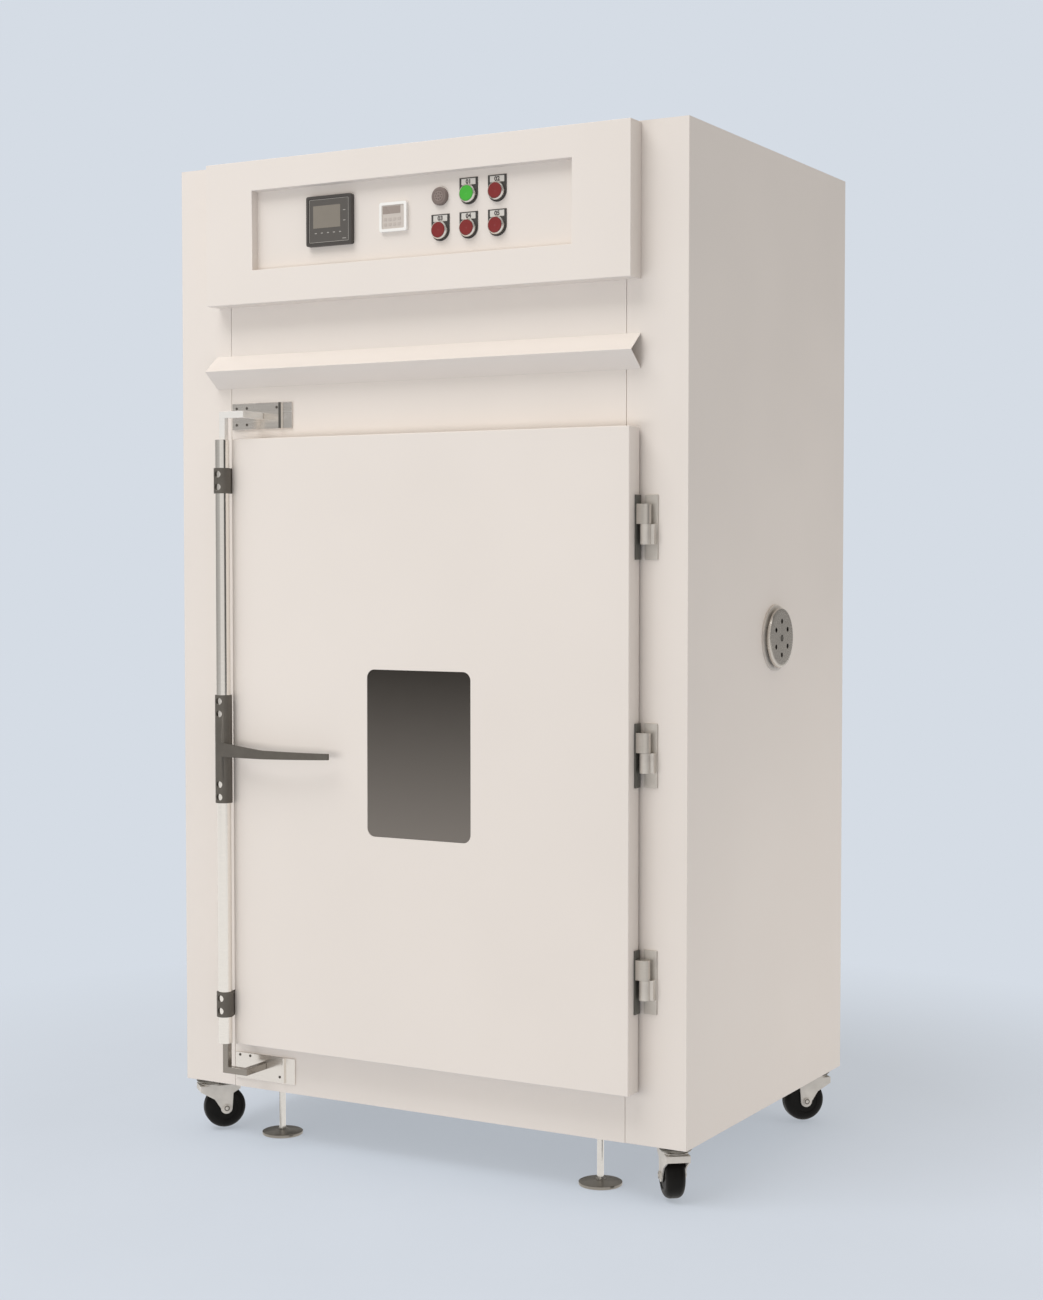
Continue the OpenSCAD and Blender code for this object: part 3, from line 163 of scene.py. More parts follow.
def mix(nt, fac, a, b):
    m = nt.nodes.new("ShaderNodeMix")
    m.data_type = "RGBA"
    m.inputs[6].default_value = a
    m.inputs[7].default_value = b
    nt.links.new(fac, m.inputs[0])
    return m.outputs[2]


def bump(nt, bsdf, height, strength, distance):
    b = nt.nodes.new("ShaderNodeBump")
    b.inputs["Strength"].default_value = strength
    b.inputs["Distance"].default_value = distance
    nt.links.new(height, b.inputs["Height"])
    nt.links.new(b.outputs["Normal"], bsdf.inputs["Normal"])


def paint(name, color, rough=0.42, peel=0.12, vary=0.02):
    """Baked powder coat: orange peel, a faint drift in tone and in gloss."""
    mat, nt, bsdf = new_material(name)
    vec = coords(nt)
    dark = tuple(c * (1 - vary) for c in color[:3]) + (1,)
    light = tuple(min(1, c * (1 + vary)) for c in color[:3]) + (1,)
    drift = remap(nt, noise(nt, vec, 2.2, 3), 0, 1)
    nt.links.new(mix(nt, drift, dark, light), bsdf.inputs["Base Color"])
    nt.links.new(remap(nt, noise(nt, vec, 9, 4), rough - 0.05, rough + 0.06),
                 bsdf.inputs["Roughness"])
    bsdf.inputs["Specular IOR Level"].default_value = 0.4
    bump(nt, bsdf, noise(nt, vec, 620, 1.5), peel, 0.0004)
    return mat


def steel(name, color, rough=0.3, grain=(900, 900, 18), depth=0.08, spots=0.06):
    """Brushed sheet: fine scratches along one direction, with soft smears."""
    mat, nt, bsdf = new_material(name)
    vec = coords(nt, grain)
    scratch = noise(nt, vec, 1.0, 4, 0.65)
    smear = noise(nt, coords(nt), 14, 3)
    dark = tuple(c * 0.9 for c in color[:3]) + (1,)
    nt.links.new(mix(nt, remap(nt, scratch, 0, 1), dark, color), bsdf.inputs["Base Color"])
    add = nt.nodes.new("ShaderNodeMath")
    add.operation = "ADD"
    nt.links.new(remap(nt, scratch, rough - 0.06, rough + 0.08), add.inputs[0])
    nt.links.new(remap(nt, smear, -spots, spots), add.inputs[1])
    nt.links.new(add.outputs[0], bsdf.inputs["Roughness"])
    bsdf.inputs["Metallic"].default_value = 1.0
    bump(nt, bsdf, scratch, depth, 0.0002)
    return mat


def cast(name, color, rough=0.5, metal=0.6, grain=420, depth=0.2):
    """Fine-grained satin surface: castings, zinc, oxide-black bars."""
    mat, nt, bsdf = new_material(name)
    vec = coords(nt)
    fine = noise(nt, vec, grain, 3)
    cloud = noise(nt, vec, 38, 3)
    dark = tuple(c * 0.82 for c in color[:3]) + (1,)
    nt.links.new(mix(nt, remap(nt, cloud, 0, 1), dark, color), bsdf.inputs["Base Color"])
    nt.links.new(remap(nt, fine, rough - 0.07, rough + 0.08), bsdf.inputs["Roughness"])
    bsdf.inputs["Metallic"].default_value = metal
    bump(nt, bsdf, fine, depth, 0.0003)
    return mat


def plastic(name, color, rough=0.45, grain=900, depth=0.1, glow=0.0):
    """Moulded plastic, print or rubber with a fine grain; glow adds painted light as a faint
    emission.
    """
    mat, nt, bsdf = new_material(name)
    vec = coords(nt)
    fine = noise(nt, vec, grain, 2)
    dark = tuple(c * 0.95 for c in color[:3]) + (1,)
    nt.links.new(mix(nt, remap(nt, noise(nt, vec, 24, 2), 0, 1), dark, color),
                 bsdf.inputs["Base Color"])
    nt.links.new(remap(nt, fine, rough - 0.05, rough + 0.05), bsdf.inputs["Roughness"])
    if glow:
        bsdf.inputs["Emission Color"].default_value = color
        bsdf.inputs["Emission Strength"].default_value = glow
    bump(nt, bsdf, fine, depth, 0.0002)
    return mat


# how far to each side a change of zone is spread, in metres
ZONE_BLUR = 0.0004


def zones(name, levels, grain, depth=0.03, axis="Z"):
    """Metal that changes along an axis: (from, colour, roughness, metallic), lowest first."""
    mat, nt, bsdf = new_material(name)
    scratch = noise(nt, coords(nt, grain), 1.0, 4, 0.65)
    tex = nt.nodes.new("ShaderNodeTexCoord")
    sep = nt.nodes.new("ShaderNodeSeparateXYZ")
    nt.links.new(tex.outputs["Object"], sep.inputs[0])
    along = sep.outputs[axis]
    grained = remap(nt, scratch, 0.93, 1.0)
    last = None
    for start, color, rough, metal in levels:
        tone = nt.nodes.new("ShaderNodeCombineColor")
        for i in range(3):
            tone.inputs[i].default_value = color[i]
        if last is None:
            last = (tone.outputs[0], rough, metal)
            continue
        step = remap(nt, along, 0, 1, start - ZONE_BLUR, start + ZONE_BLUR)
        blend = nt.nodes.new("ShaderNodeMix")
        blend.data_type = "RGBA"
        nt.links.new(step, blend.inputs[0])
        nt.links.new(last[0], blend.inputs[6])
        nt.links.new(tone.outputs[0], blend.inputs[7])
        values = []
        for old, new in ((last[1], rough), (last[2], metal)):
            m = nt.nodes.new("ShaderNodeMix")
            nt.links.new(step, m.inputs[0])
            if isinstance(old, float):
                m.inputs[2].default_value = old
            else:
                nt.links.new(old, m.inputs[2])
            m.inputs[3].default_value = new
            values.append(m.outputs[0])
        last = (blend.outputs[2], values[0], values[1])
    shade = nt.nodes.new("ShaderNodeVectorMath")
    shade.operation = "SCALE"
    nt.links.new(last[0], shade.inputs[0])
    nt.links.new(grained, shade.inputs["Scale"])
    nt.links.new(shade.outputs[0], bsdf.inputs["Base Color"])
    nt.links.new(last[1], bsdf.inputs["Roughness"])
    nt.links.new(last[2], bsdf.inputs["Metallic"])
    bump(nt, bsdf, scratch, depth, 0.0002)
    return mat


def wool(name):
    """Yellow mineral wool."""
    mat, nt, bsdf = new_material(name)
    vec = coords(nt)
    fibre = noise(nt, vec, 260, 6, 0.7)
    nt.links.new(mix(nt, remap(nt, fibre, 0, 1), srgb(168, 152, 98), srgb(214, 203, 150)),
                 bsdf.inputs["Base Color"])
    bsdf.inputs["Roughness"].default_value = 0.95
    bump(nt, bsdf, fibre, 0.6, 0.002)
    return mat


def tyre(name):
    """Black moulded rubber with a low sheen."""
    mat, nt, bsdf = new_material(name)
    vec = coords(nt)
    nt.links.new(mix(nt, remap(nt, noise(nt, vec, 40, 3), 0, 1), srgb(9, 8, 7), srgb(20, 19, 17)),
                 bsdf.inputs["Base Color"])
    nt.links.new(remap(nt, noise(nt, vec, 160, 2), 0.4, 0.52), bsdf.inputs["Roughness"])
    bsdf.inputs["Specular IOR Level"].default_value = 0.16
    bump(nt, bsdf, noise(nt, vec, 700, 2), 0.12, 0.0002)
    return mat


def window_glass(name, z0, z1):
    """Dark toughened pane, lighter towards the bottom as a painted reflection of the pale floor.
    """
    mat, nt, bsdf = new_material(name)
    tex = nt.nodes.new("ShaderNodeTexCoord")
    sep = nt.nodes.new("ShaderNodeSeparateXYZ")
    nt.links.new(tex.outputs["Object"], sep.inputs[0])
    fade = remap(nt, sep.outputs["Z"], 1, 0, z0, z1)
    # painted reflection: the pane lightens downwards where it would mirror the pale floor
    nt.links.new(mix(nt, fade, srgb(46, 42, 38), srgb(118, 112, 106)), bsdf.inputs["Base Color"])
    nt.links.new(remap(nt, noise(nt, coords(nt), 30, 2), 0.10, 0.16), bsdf.inputs["Roughness"])
    bsdf.inputs["Specular IOR Level"].default_value = 0.25
    return mat


BODY = srgb(229, 221, 214)
M = {
    "paint": paint("coated_sheet", BODY),
    "paint_panel": paint("coated_panel", srgb(226, 218, 211)),
    "stainless": steel("stainless_sheet", srgb(190, 190, 187)),
    "flange": cast("flange_steel", srgb(224, 217, 209), 0.38, 0.15, 80, 0.01),
    "leaf": cast("leaf_steel", srgb(216, 210, 202), 0.38, 0.5, 60, 0.01),
    "cap": steel("cap_steel", srgb(208, 202, 194), 0.22, (300, 300, 300), 0.02, 0.04),
    "keeper": steel("polished_plate", srgb(240, 235, 229), 0.18, (18, 500, 900), 0.03, 0.04),
    "zinc": cast("zinc_steel", srgb(224, 219, 212), 0.4, 0.35, 300, 0.06),
    "race": cast("race_steel", srgb(140, 136, 129), 0.26, 0.95, 300, 0.04),
    # dark steel used as painted shade on the stop rib's face
    "rib_shade": steel("rib_shade_steel", srgb(118, 116, 111), 0.3, (900, 900, 40), 0.04, 0.05),
    "cast": cast("cast_steel", srgb(108, 103, 96), 0.52, 0.5, 300, 0.12),
    "motor": paint("motor_paint", srgb(82, 97, 110), 0.4, 0.2),
    "galvanised": steel("galvanised", srgb(186, 189, 190), 0.34, (60, 60, 60), 0.1, 0.12),
    "heater": steel("heater_steel", srgb(120, 110, 100), 0.4, (300, 40, 300), 0.1, 0.1),
    "wool": wool("wool"),
    "silicone": plastic("silicone", srgb(44, 43, 42), 0.6, 300),
    "charcoal": plastic("charcoal_plastic", srgb(70, 66, 63), 0.48),
    "black": plastic("legend_black", srgb(62, 59, 56), 0.5),
    "white": plastic("white_plastic", srgb(244, 242, 238), 0.3),
    "beige": plastic("beige_face", srgb(202, 193, 185), 0.5),
    "screen": plastic("screen", srgb(134, 127, 117), 0.22, 20, 0.0),
    "panel_grey": plastic("panel_grey", srgb(88, 84, 80), 0.4),
    "mark": plastic("mark_grey", srgb(170, 166, 160), 0.5),
    "label": plastic("label_white", srgb(208, 204, 198), 0.5),
    "ink": plastic("ink_grey", srgb(58, 50, 49), 0.6),
    "buzzer": plastic("buzzer_brown", srgb(126, 112, 106), 0.5, 400, 0.25),
    "bezel": steel("bezel_metal", srgb(226, 222, 216), 0.22, (400, 400, 400), 0.03, 0.03),
    # the green cap's faint glow is painted light; the cap is no lamp
    "green": plastic("green_cap", srgb(64, 168, 52), 0.35, 300, 0.05, 0.08),
    "red": plastic("red_cap", srgb(128, 38, 37), 0.35, 300, 0.05),
    "tyre": tyre("tyre_black"),
    "bolt": cast("bolt_steel", srgb(120, 115, 108), 0.35, 0.9, 400, 0.06),
    "glass": window_glass("window_glass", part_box("window_panes")[0].z,
                          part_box("window_panes")[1].z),
}


# ---- mesh helpers -------------------------------------------------------
def add_object(name, mesh, mat, body):
    """Object of one material that rides on a body."""
    obj = bpy.data.objects.new(name, mesh)
    bpy.context.scene.collection.objects.link(obj)
    mesh.materials.clear()
    mesh.materials.append(mat)
    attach(obj, body)
    return obj


def finish_mesh(bm, name):
    """Mesh with smooth faces and sharp edges."""
    mesh = bpy.data.meshes.new(name)
    bm.normal_update()
    bm.to_mesh(mesh)
    bm.free()
    for poly in mesh.polygons:
        poly.use_smooth = True
    mesh.set_sharp_from_angle(angle=math.radians(SHARP))
    return mesh


def weigh_normals(obj):
    """Keeps large flat faces flat beside rounded edges."""
    mod = obj.modifiers.new("normals", "WEIGHTED_NORMAL")
    mod.keep_sharp = True


BODY_OF = {n: b for b, ns in frame["record"]["behaviour"]["bodies"].items() for n in ns}


# an edge is rounded if it is this many widths long, between faces this many widths deep
LONG_EDGE, DEEP_FACE = 2.5, 2.3
FLAT = 0.4  # degrees up to which neighbouring faces are one
TINY = 1e-6


def soften(node, mat, width, segments=3):
    """Copies a CAD node with its long outer edges rounded, and shows the copy."""
    bm = bmesh.new()
    bm.from_mesh(NODES[node].data)
    for layer in list(bm.loops.layers.float_vector.values()):
        bm.loops.layers.float_vector.remove(layer)
    bmesh.ops.remove_doubles(bm, verts=bm.verts, dist=TINY)
    bmesh.ops.dissolve_limit(bm, angle_limit=math.radians(FLAT), verts=bm.verts, edges=bm.edges)
    bm.normal_update()
    w = width * MM
    picked = []
    for e in bm.edges:
        if len(e.link_faces) != 2 or not e.is_convex or e.calc_length() < LONG_EDGE * w:
            continue
        if e.calc_face_angle() < math.radians(SHARP):
            continue
        if min(f.calc_area() for f in e.link_faces) / e.calc_length() > DEEP_FACE * w:
            picked.append(e)
    if picked:
        bmesh.ops.bevel(bm, geom=picked, offset=w, segments=segments, profile=0.5,
                        affect="EDGES", clamp_overlap=True)
    name = node + "_soft"
    obj = add_object(name, finish_mesh(bm, name), mat, BODY_OF[node])
    weigh_normals(obj)
    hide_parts(node)
    return obj


def wear(node, mat):
    """Gives a CAD node its material and leaves its shape."""
    data = NODES[node].data
    data.materials.clear()
    data.materials.append(mat)


def basis(normal):
    """Matrix whose Z is the normal and whose Y is nearest to upright."""
    z = Vector(normal).normalized()
    x = Vector((0, 0, 1)).cross(z)
    if x.length < TINY:
        x = Vector((1, 0, 0))
    x.normalize()
    y = z.cross(x)
    return Matrix((x, y, z)).transposed().to_4x4()


def lathe(bm, profile, matrix, steps=32):
    """Turns (radius, height) points in mm about the matrix's Z."""
    turns = [2 * math.pi * i / steps for i in range(steps)]
    rings = []
    for r, h in profile:
        if r < TINY:
            rings.append([bm.verts.new(matrix @ Vector((0, 0, h * MM)))])
            continue
        rings.append([bm.verts.new(matrix @ Vector((r * MM * math.cos(a), r * MM * math.sin(a),
                                                    h * MM))) for a in turns])
    for a, b in zip(rings, rings[1:]):
        for i in range(steps):
            j = (i + 1) % steps
            quad = [a[i % len(a)], a[j % len(a)], b[j % len(b)], b[i % len(b)]]
            loop = [v for k, v in enumerate(quad) if v not in quad[:k]]
            if len(loop) > 2:
                bm.faces.new(loop)


# the smallest corner radius, in mm, and each corner's side of the middle and first angle
LEAST_CORNER = 0.05
CORNERS = ((1, 1, 0), (-1, 1, 90), (-1, -1, 180), (1, -1, 270))


def outline(bm, matrix, w, h, r, inset, z, steps):
    """Rounded rectangle of points, w by h mm with corners of r, drawn in by inset."""
    points = []
    rr = max(r - inset, LEAST_CORNER)
    corner = max(r, inset + LEAST_CORNER)
    for cx, cy, a0 in CORNERS:
        for k in range(steps + 1):
            a = math.radians(a0 + 90 * k / steps)
            x = cx * (w / 2 - corner) + rr * math.cos(a)
            y = cy * (h / 2 - corner) + rr * math.sin(a)
            points.append(bm.verts.new(matrix @ Vector((x * MM, y * MM, z * MM))))
    return points


def join(bm, pairs):
    """Walls between outlines with as many points."""
    for a, b in pairs:
        n = len(a)
        for i in range(n):
            bm.faces.new([a[i], a[(i + 1) % n], b[(i + 1) % n], b[i]])


def slab(bm, matrix, w, h, r, z0, z1, steps=5, chamfer=0.0):
    """Rounded plate centred on the matrix, in mm, from z0 to z1 along its Z."""
    levels = [outline(bm, matrix, w, h, r, 0, z0, steps),
              outline(bm, matrix, w, h, r, 0, z1 - chamfer, steps)]
    if chamfer:
        levels.append(outline(bm, matrix, w, h, r, chamfer, z1, steps))
    join(bm, zip(levels, levels[1:]))
    bm.faces.new(levels[-1])
    bm.faces.new(list(reversed(levels[0])))


def frame_ring(bm, matrix, w, h, r, band, z0, z1, steps=5):
    """Raised rectangular line: outer size w by h, width band."""
    loops = [outline(bm, matrix, w, h, r, inset, z, steps)
             for inset, z in ((0, z0), (0, z1), (band, z1), (band, z0))]
    join(bm, zip(loops, loops[1:] + loops[:1]))


def piece(name, build, mat, body):
    """New visible piece, with the mesh that build(bm) makes."""
    bm = bmesh.new()
    build(bm)
    obj = add_object(name, finish_mesh(bm, name), mat, body)
    weigh_normals(obj)
    return obj


def screw(bm, pos, normal, r, h):
    """Button-head screw with a round socket."""
    m = Matrix.Translation(pos) @ basis(normal)
    s = r * 0.5
    lathe(bm, [(r, 0), (r, h * 0.35), (r * 0.86, h * 0.8), (r * 0.62, h),
               (s, h), (s * 0.96, h * 0.35), (0, h * 0.3)], m, 18)


def digits(name, text, matrix, size, mat, body):
    """Plain number as flat raised ink."""
    curve = bpy.data.curves.new(name + "_curve", "FONT")
    curve.body = text
    curve.size = size * MM
    curve.align_x = "CENTER"
    curve.align_y = "CENTER"
    curve.extrude = 0.0001
    curve.offset = size * MM * 0.035
    tmp = bpy.data.objects.new(name + "_tmp", curve)
    bpy.context.scene.collection.objects.link(tmp)
    bpy.context.view_layer.update()
    graph = bpy.context.evaluated_depsgraph_get()
    mesh = bpy.data.meshes.new_from_object(tmp.evaluated_get(graph))
    bpy.data.objects.remove(tmp)
    mesh.transform(matrix)
    mesh.name = name
    return add_object(name, mesh, mat, body)


# ---- cabinet ------------------------------------------------------------
for n in ("left_panel", "right_panel", "top_panel", "back_panel", "front_fascia"):
    soften(n, M["paint"], 0.9)
soften("header_box", M["paint"], 1.6)
soften("door_skin", M["paint"], 1.6)
soften("drip_strip", M["paint"], 0.5, 2)
soften("rear_cover", M["paint"], 1.2, 2)
wear("control_panel", M["paint_panel"])
for n in ("chamber_liner", "air_ducts", "shelf_rails", "shelves", "door_liner", "motor_deck",
          "exhaust_spigot", "temperature_probe"):
    wear(n, M["stainless"])
for n, key in (("insulation", "wool"), ("door_insulation", "wool"), ("base_frame", "zinc"),
               ("fan_motor", "motor"), ("fan_wheel", "galvanised"), ("heaters", "heater"),
               ("cable_gland", "charcoal"), ("door_seals", "silicone"),
               ("window_panes", "glass"), ("port_flange", "flange"), ("vent_cap", "cap")):
    wear(n, M[key])

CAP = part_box("vent_cap")
CAP_MID = (CAP[0] + CAP[1]) / 2
CAP_M = Matrix.Translation(Vector((CAP[1].x, CAP_MID.y, CAP_MID.z))) @ basis((1, 0, 0))
CAP_R = (CAP[1].z - CAP[0].z) / 2 / MM


def cap_rim(bm):
    """Rolled edge round the turning cap."""
    r = CAP_R
    lathe(bm, [(r + 0.02, 0), (r + 4, 0), (r + 6.4, -0.7), (r + 7.4, -2.4), (r + 7.4, -5.5),
               (r + 6.6, -6.2), (r + 5.9, -5.4), (r + 5.6, -2.8), (r + 3.6, -1.9),
               (r + 0.02, -1.9), (r + 0.02, 0)], CAP_M, 72)


def cap_screw(bm):
    """Flat screw that the cap turns on."""
    lathe(bm, [(6.2, -0.2), (5.9, 0.0), (4.2, 0.0), (3.9, -0.05), (0, -0.05)], CAP_M, 24)


piece("cap_rim", cap_rim, M["cap"], BODY_OF["vent_cap"])
piece("cap_screw", cap_screw, M["bolt"], BODY_OF["vent_cap"])


def sheet_screws(name, points, normal, r, h):
    """Row of button-head screws, r mm in radius and h mm high."""
    piece(name, lambda bm: [screw(bm, pt, normal, r, h) for pt in points],
          M["bolt"], "cabinet")


# screws: how far they stand from a sheet's edge, and how thick the sheet under them is
BACK_IN, BACK_ROWS = 14 * MM, 6
COVER_IN, COVER_LIP = 9 * MM, 1.5 * MM
SPIGOT_IN, SPIGOT_LIP = 9 * MM, 2 * MM
LARGE_SCREW, SMALL_SCREW = (4.0, 2.0), (3.2, 1.6)

back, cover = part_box("back_panel"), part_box("rear_cover")
rows = [back[0].z + (back[1].z - back[0].z) * (k + 0.5) / BACK_ROWS for k in range(BACK_ROWS)]
sheet_screws("back_screws",
             [Vector((x, back[1].y, z)) for z in rows
              for x in (back[0].x + BACK_IN, back[1].x - BACK_IN)],
             (0, 1, 0), *LARGE_SCREW)
cover_x = (cover[0].x + COVER_IN, (cover[0].x + cover[1].x) / 2, cover[1].x - COVER_IN)
sheet_screws("cover_screws",
             [Vector((x, back[1].y + COVER_LIP, z)) for x in cover_x
              for z in (cover[0].z + COVER_IN, cover[1].z - COVER_IN)],
             (0, 1, 0), *SMALL_SCREW)
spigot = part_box("exhaust_spigot")
mid = (spigot[0] + spigot[1]) / 2
ring = (spigot[1].x - spigot[0].x) / 2 - SPIGOT_IN
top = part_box("top_panel")[1].z
turns = [math.radians(45 + 90 * k) for k in range(4)]
sheet_screws("spigot_screws",
             [Vector((mid.x + ring * math.cos(a), mid.y + ring * math.sin(a), top + SPIGOT_LIP))
              for a in turns],
             (0, 0, 1), *SMALL_SCREW)

# ---- lock, hinges, keepers ----------------------------------------------
FRONT = (0, -1, 0)
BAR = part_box("lock_bar")
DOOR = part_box("door_skin")
# below any height or width: where a first zone starts
LOWEST = -1.0
# the tube's ends, between the lower and the upper hook
TUBE_FOOT, TUBE_HEAD = DOOR[0].z + 4 * MM, DOOR[1].z - 2 * MM
# painted shade and light: the lower hook is painted darker than the tube, and the upper hook pale
# and less metallic, though both hooks are alike
M["bar"] = zones("lock_steel_lit_and_shaded", ((LOWEST, srgb(160, 154, 147), 0.22, 1.0),
                                (TUBE_FOOT, srgb(246, 242, 236), 0.13, 1.0),
                                (TUBE_HEAD, srgb(246, 243, 238), 0.25, 0.3)), (60, 60, 900))
soften("hinge_frame_leaves", M["leaf"], 0.6, 2)
# the door's leaf is painted dark up to here, as painted shade, and the bright knuckles start
LEAF_EDGE = DOOR[1].x + 3.5 * MM
M["hinge"] = zones("hinge_steel_shaded_leaf", ((LOWEST, srgb(104, 104, 99), 0.4, 0.4),
                                   (LEAF_EDGE, srgb(200, 194, 186), 0.3, 0.7)),
                   (60, 60, 400), 0.01, "X")
soften("hinge_door_leaves", M["hinge"], 0.6, 2)
soften("keepers", M["keeper"], 0.5, 2)
soften("lock_bar", M["bar"], 0.8, 2)
soften("lock_handle", M["cast"], 0.8, 2)
soften("rod_guides", M["cast"], 0.7, 2)

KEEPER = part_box("keepers")
KEEPER_MID = (KEEPER[0].x + KEEPER[1].x) / 2
# front face of the 3 mm plates, and half a plate's height
KEEPER_Y = KEEPER[1].y - 3 * MM
KEEPER_HALF = 26 * MM
KEEPER_SCREW = (2.6, 1.1)
# screws on the upper and lower plate: mm right of and above its middle
UPPER_SCREWS = ((-57, 17), (-34, 17), (33, 17), (-57, -13), (-34, -13))
LOWER_SCREWS = ((-57, 17), (-34, 17), (33, -15))


def keeper_screws(bm):
    for z, spots in ((KEEPER[1].z - KEEPER_HALF, UPPER_SCREWS),
                     (KEEPER[0].z + KEEPER_HALF, LOWER_SCREWS)):
        for dx, dz in spots:
            screw(bm, Vector((KEEPER_MID + dx * MM, KEEPER_Y, z + dz * MM)), FRONT,
                  *KEEPER_SCREW)


piece("keeper_screws", keeper_screws, M["cast"], "cabinet")

# the 5 mm rib starts 43 mm right of the hook's middle, 37 mm right of the bar's box
RIB_FROM_BAR = (43 + 2.5 - 6) * MM
RIB_DOWN = 24 * MM
RIB_FACE = (5.2, 47)


def keeper_stop_shade(bm):
    """Dark face on the upper stop rib, where the hook's end lands; the darkness is painted shade.
    """
    rib = Vector((BAR[1].x + RIB_FROM_BAR, KEEPER[0].y, KEEPER[1].z - RIB_DOWN))
    slab(bm, Matrix.Translation(rib) @ basis(FRONT), *RIB_FACE, 0.3, -0.1, 0.25, 2)


piece("keeper_stop_shade", keeper_stop_shade, M["rib_shade"], "cabinet")

# ---- header instruments -------------------------------------------------
PANEL_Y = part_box("control_panel")[0].y


def front_matrix(x, z, y=None):
    """Facing forward at a place on the control panel, or y in front of it."""
    return Matrix.Translation(Vector((x, PANEL_Y if y is None else y, z))) @ basis(FRONT)


c_lo, c_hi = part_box("controller")
CX, CZ = (c_lo.x + c_hi.x) / 2, (c_lo.z + c_hi.z) / 2
CM = front_matrix(CX, CZ)
soften("controller", M["charcoal"], 2.2, 3)
BEZEL = 5.5  # mm of dark rim round the controller's face
# back and front of the layers on it, in mm before the panel
FACE, LINE, PRINT = (8.2, 8.9), (8.9, 9.15), (8.8, 9.2)
CW, CH = (c_hi.x - c_lo.x) / MM - 2 * BEZEL, (c_hi.z - c_lo.z) / MM - 2 * BEZEL


def shifted(m, right, up):
    """The matrix, moved in its own plane by mm."""
    return m @ Matrix.Translation((right * MM, up * MM, 0))


piece("controller_face", lambda bm: slab(bm, CM, CW, CH, 1.8, *FACE), M["panel_grey"],
      "cabinet")
piece("controller_line", lambda bm: frame_ring(bm, CM, CW - 1, CH - 1, 2, 0.7, *LINE),
      M["mark"], "cabinet")
piece("controller_screen", lambda bm: slab(bm, shifted(CM, -4.5, 7), 58, 39.5, 0.8, *PRINT),
      M["screen"], "cabinet")


def controller_marks(bm):
    """Plain marks where keys and lamps stand: a row of five, two at the right, one below."""
    for k in range(5):
        slab(bm, shifted(CM, -28 + k * 13, -21.5), 4.2, 1.6, 0.5, *PRINT, 3)
    for dz in (16, -2):
        slab(bm, shifted(CM, 33, dz), 5.0, 1.4, 0.5, *PRINT, 3)
    slab(bm, shifted(CM, 33, -33.5), 8, 1.3, 0.4, *PRINT, 3)


piece("controller_marks", controller_marks, M["mark"], "cabinet")

t_lo, t_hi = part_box("timer")
TX, TZ = (t_lo.x + t_hi.x) / 2, (t_lo.z + t_hi.z) / 2
TM = front_matrix(TX, TZ)
TIMER_FACE, TIMER_PRINT, TIMER_KEY = (4.2, 4.8), (4.7, 5.1), (4.7, 5.3)
soften("timer", M["white"], 1.4, 3)
piece("timer_face", lambda bm: slab(bm, TM, 53, 48, 1, *TIMER_FACE), M["beige"],
      "cabinet")
piece("timer_screen", lambda bm: slab(bm, shifted(TM, -3, 12), 36, 13, 0.6, *TIMER_PRINT),
      plastic("timer_screen", srgb(158, 146, 138), 0.3, 20, 0.0), "cabinet")


def timer_keys(bm):
    """Two rows of four keys."""
    for r in range(2):
        for k in range(4):
            slab(bm, shifted(TM, -16 + k * 9.5, -4 - r * 9), 6.5, 5.5, 1.2, *TIMER_KEY, 4, 0.3)


piece("timer_keys", timer_keys, plastic("timer_keys", srgb(192, 182, 174), 0.5),
      "cabinet")

wear("legend_plates", M["black"])
wear("switch_bodies", M["bezel"])
soften("buzzer", M["buzzer"], 0.8, 2)
for k in range(1, 6):
    wear("button_%d" % k, M["green"] if k == 1 else M["red"])


def buzzer_grille(bm):
    """Two rings and eight bars over the sounder's mouth."""
    lo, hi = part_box("buzzer")
    m = front_matrix((lo.x + hi.x) / 2, (lo.z + hi.z) / 2, lo.y)
    for r in (3.2, 8.2):
        lathe(bm, [(r - 0.7, 0), (r - 0.5, 1.2), (r + 0.5, 1.2), (r + 0.7, 0), (r - 0.7, 0)],
              m @ Matrix.Translation((0, 0, -1.3 * MM)), 32)
    for k in range(8):
        turn = Matrix.Rotation(math.radians(22.5 + 45 * k), 4, "Z")
        slab(bm, m @ turn @ Matrix.Translation((5.7 * MM, 0, 0)), 4.4, 1.2, 0.4, -1.3, -0.2, 2)


piece("buzzer_grille", buzzer_grille, plastic("buzzer_grille", srgb(158, 143, 136), 0.45),
      "cabinet")

# a label's middle above its button's, its face before the panel's, and the ink before that
LABEL_UP, LABEL_FACE, INK_FACE = 20.4, 1.7, 1.78

for k in range(1, 6):
    lo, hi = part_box("button_%d" % k)
    lm = shifted(front_matrix((lo.x + hi.x) / 2, (lo.z + hi.z) / 2), 0, LABEL_UP)
    piece("label_%d" % k, lambda bm, lm=lm: slab(bm, lm, 28, 10.5, 0.8, 1.4, LABEL_FACE, 3),
          M["label"], "cabinet")
    digits("number_%d" % k, "0%d" % k, lm @ Matrix.Translation((0, 0, INK_FACE * MM)), 10.5,
           M["ink"], "cabinet")

# ---- castors and feet ---------------------------------------------------
soften("castor_tops", M["race"], 0.4, 2)
# a foot's disc ends 11 mm up, and its rod starts
FOOT_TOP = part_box("foot_1")[0].z + 11 * MM
M["foot"] = zones("foot_steel", ((LOWEST, srgb(156, 151, 143), 0.3, 1.0),
                                 (FOOT_TOP, srgb(230, 227, 222), 0.13, 1.0)), (200, 200, 200))
for k in range(1, 5):
    soften("castor_fork_%d" % k, M["zinc"], 0.5, 2)
    wear("castor_wheel_%d" % k, M["tyre"])
    soften("foot_%d" % k, M["foot"], 0.6, 2)
for k in (1, 2):
    soften("castor_brake_%d" % k, M["zinc"], 0.5, 2)


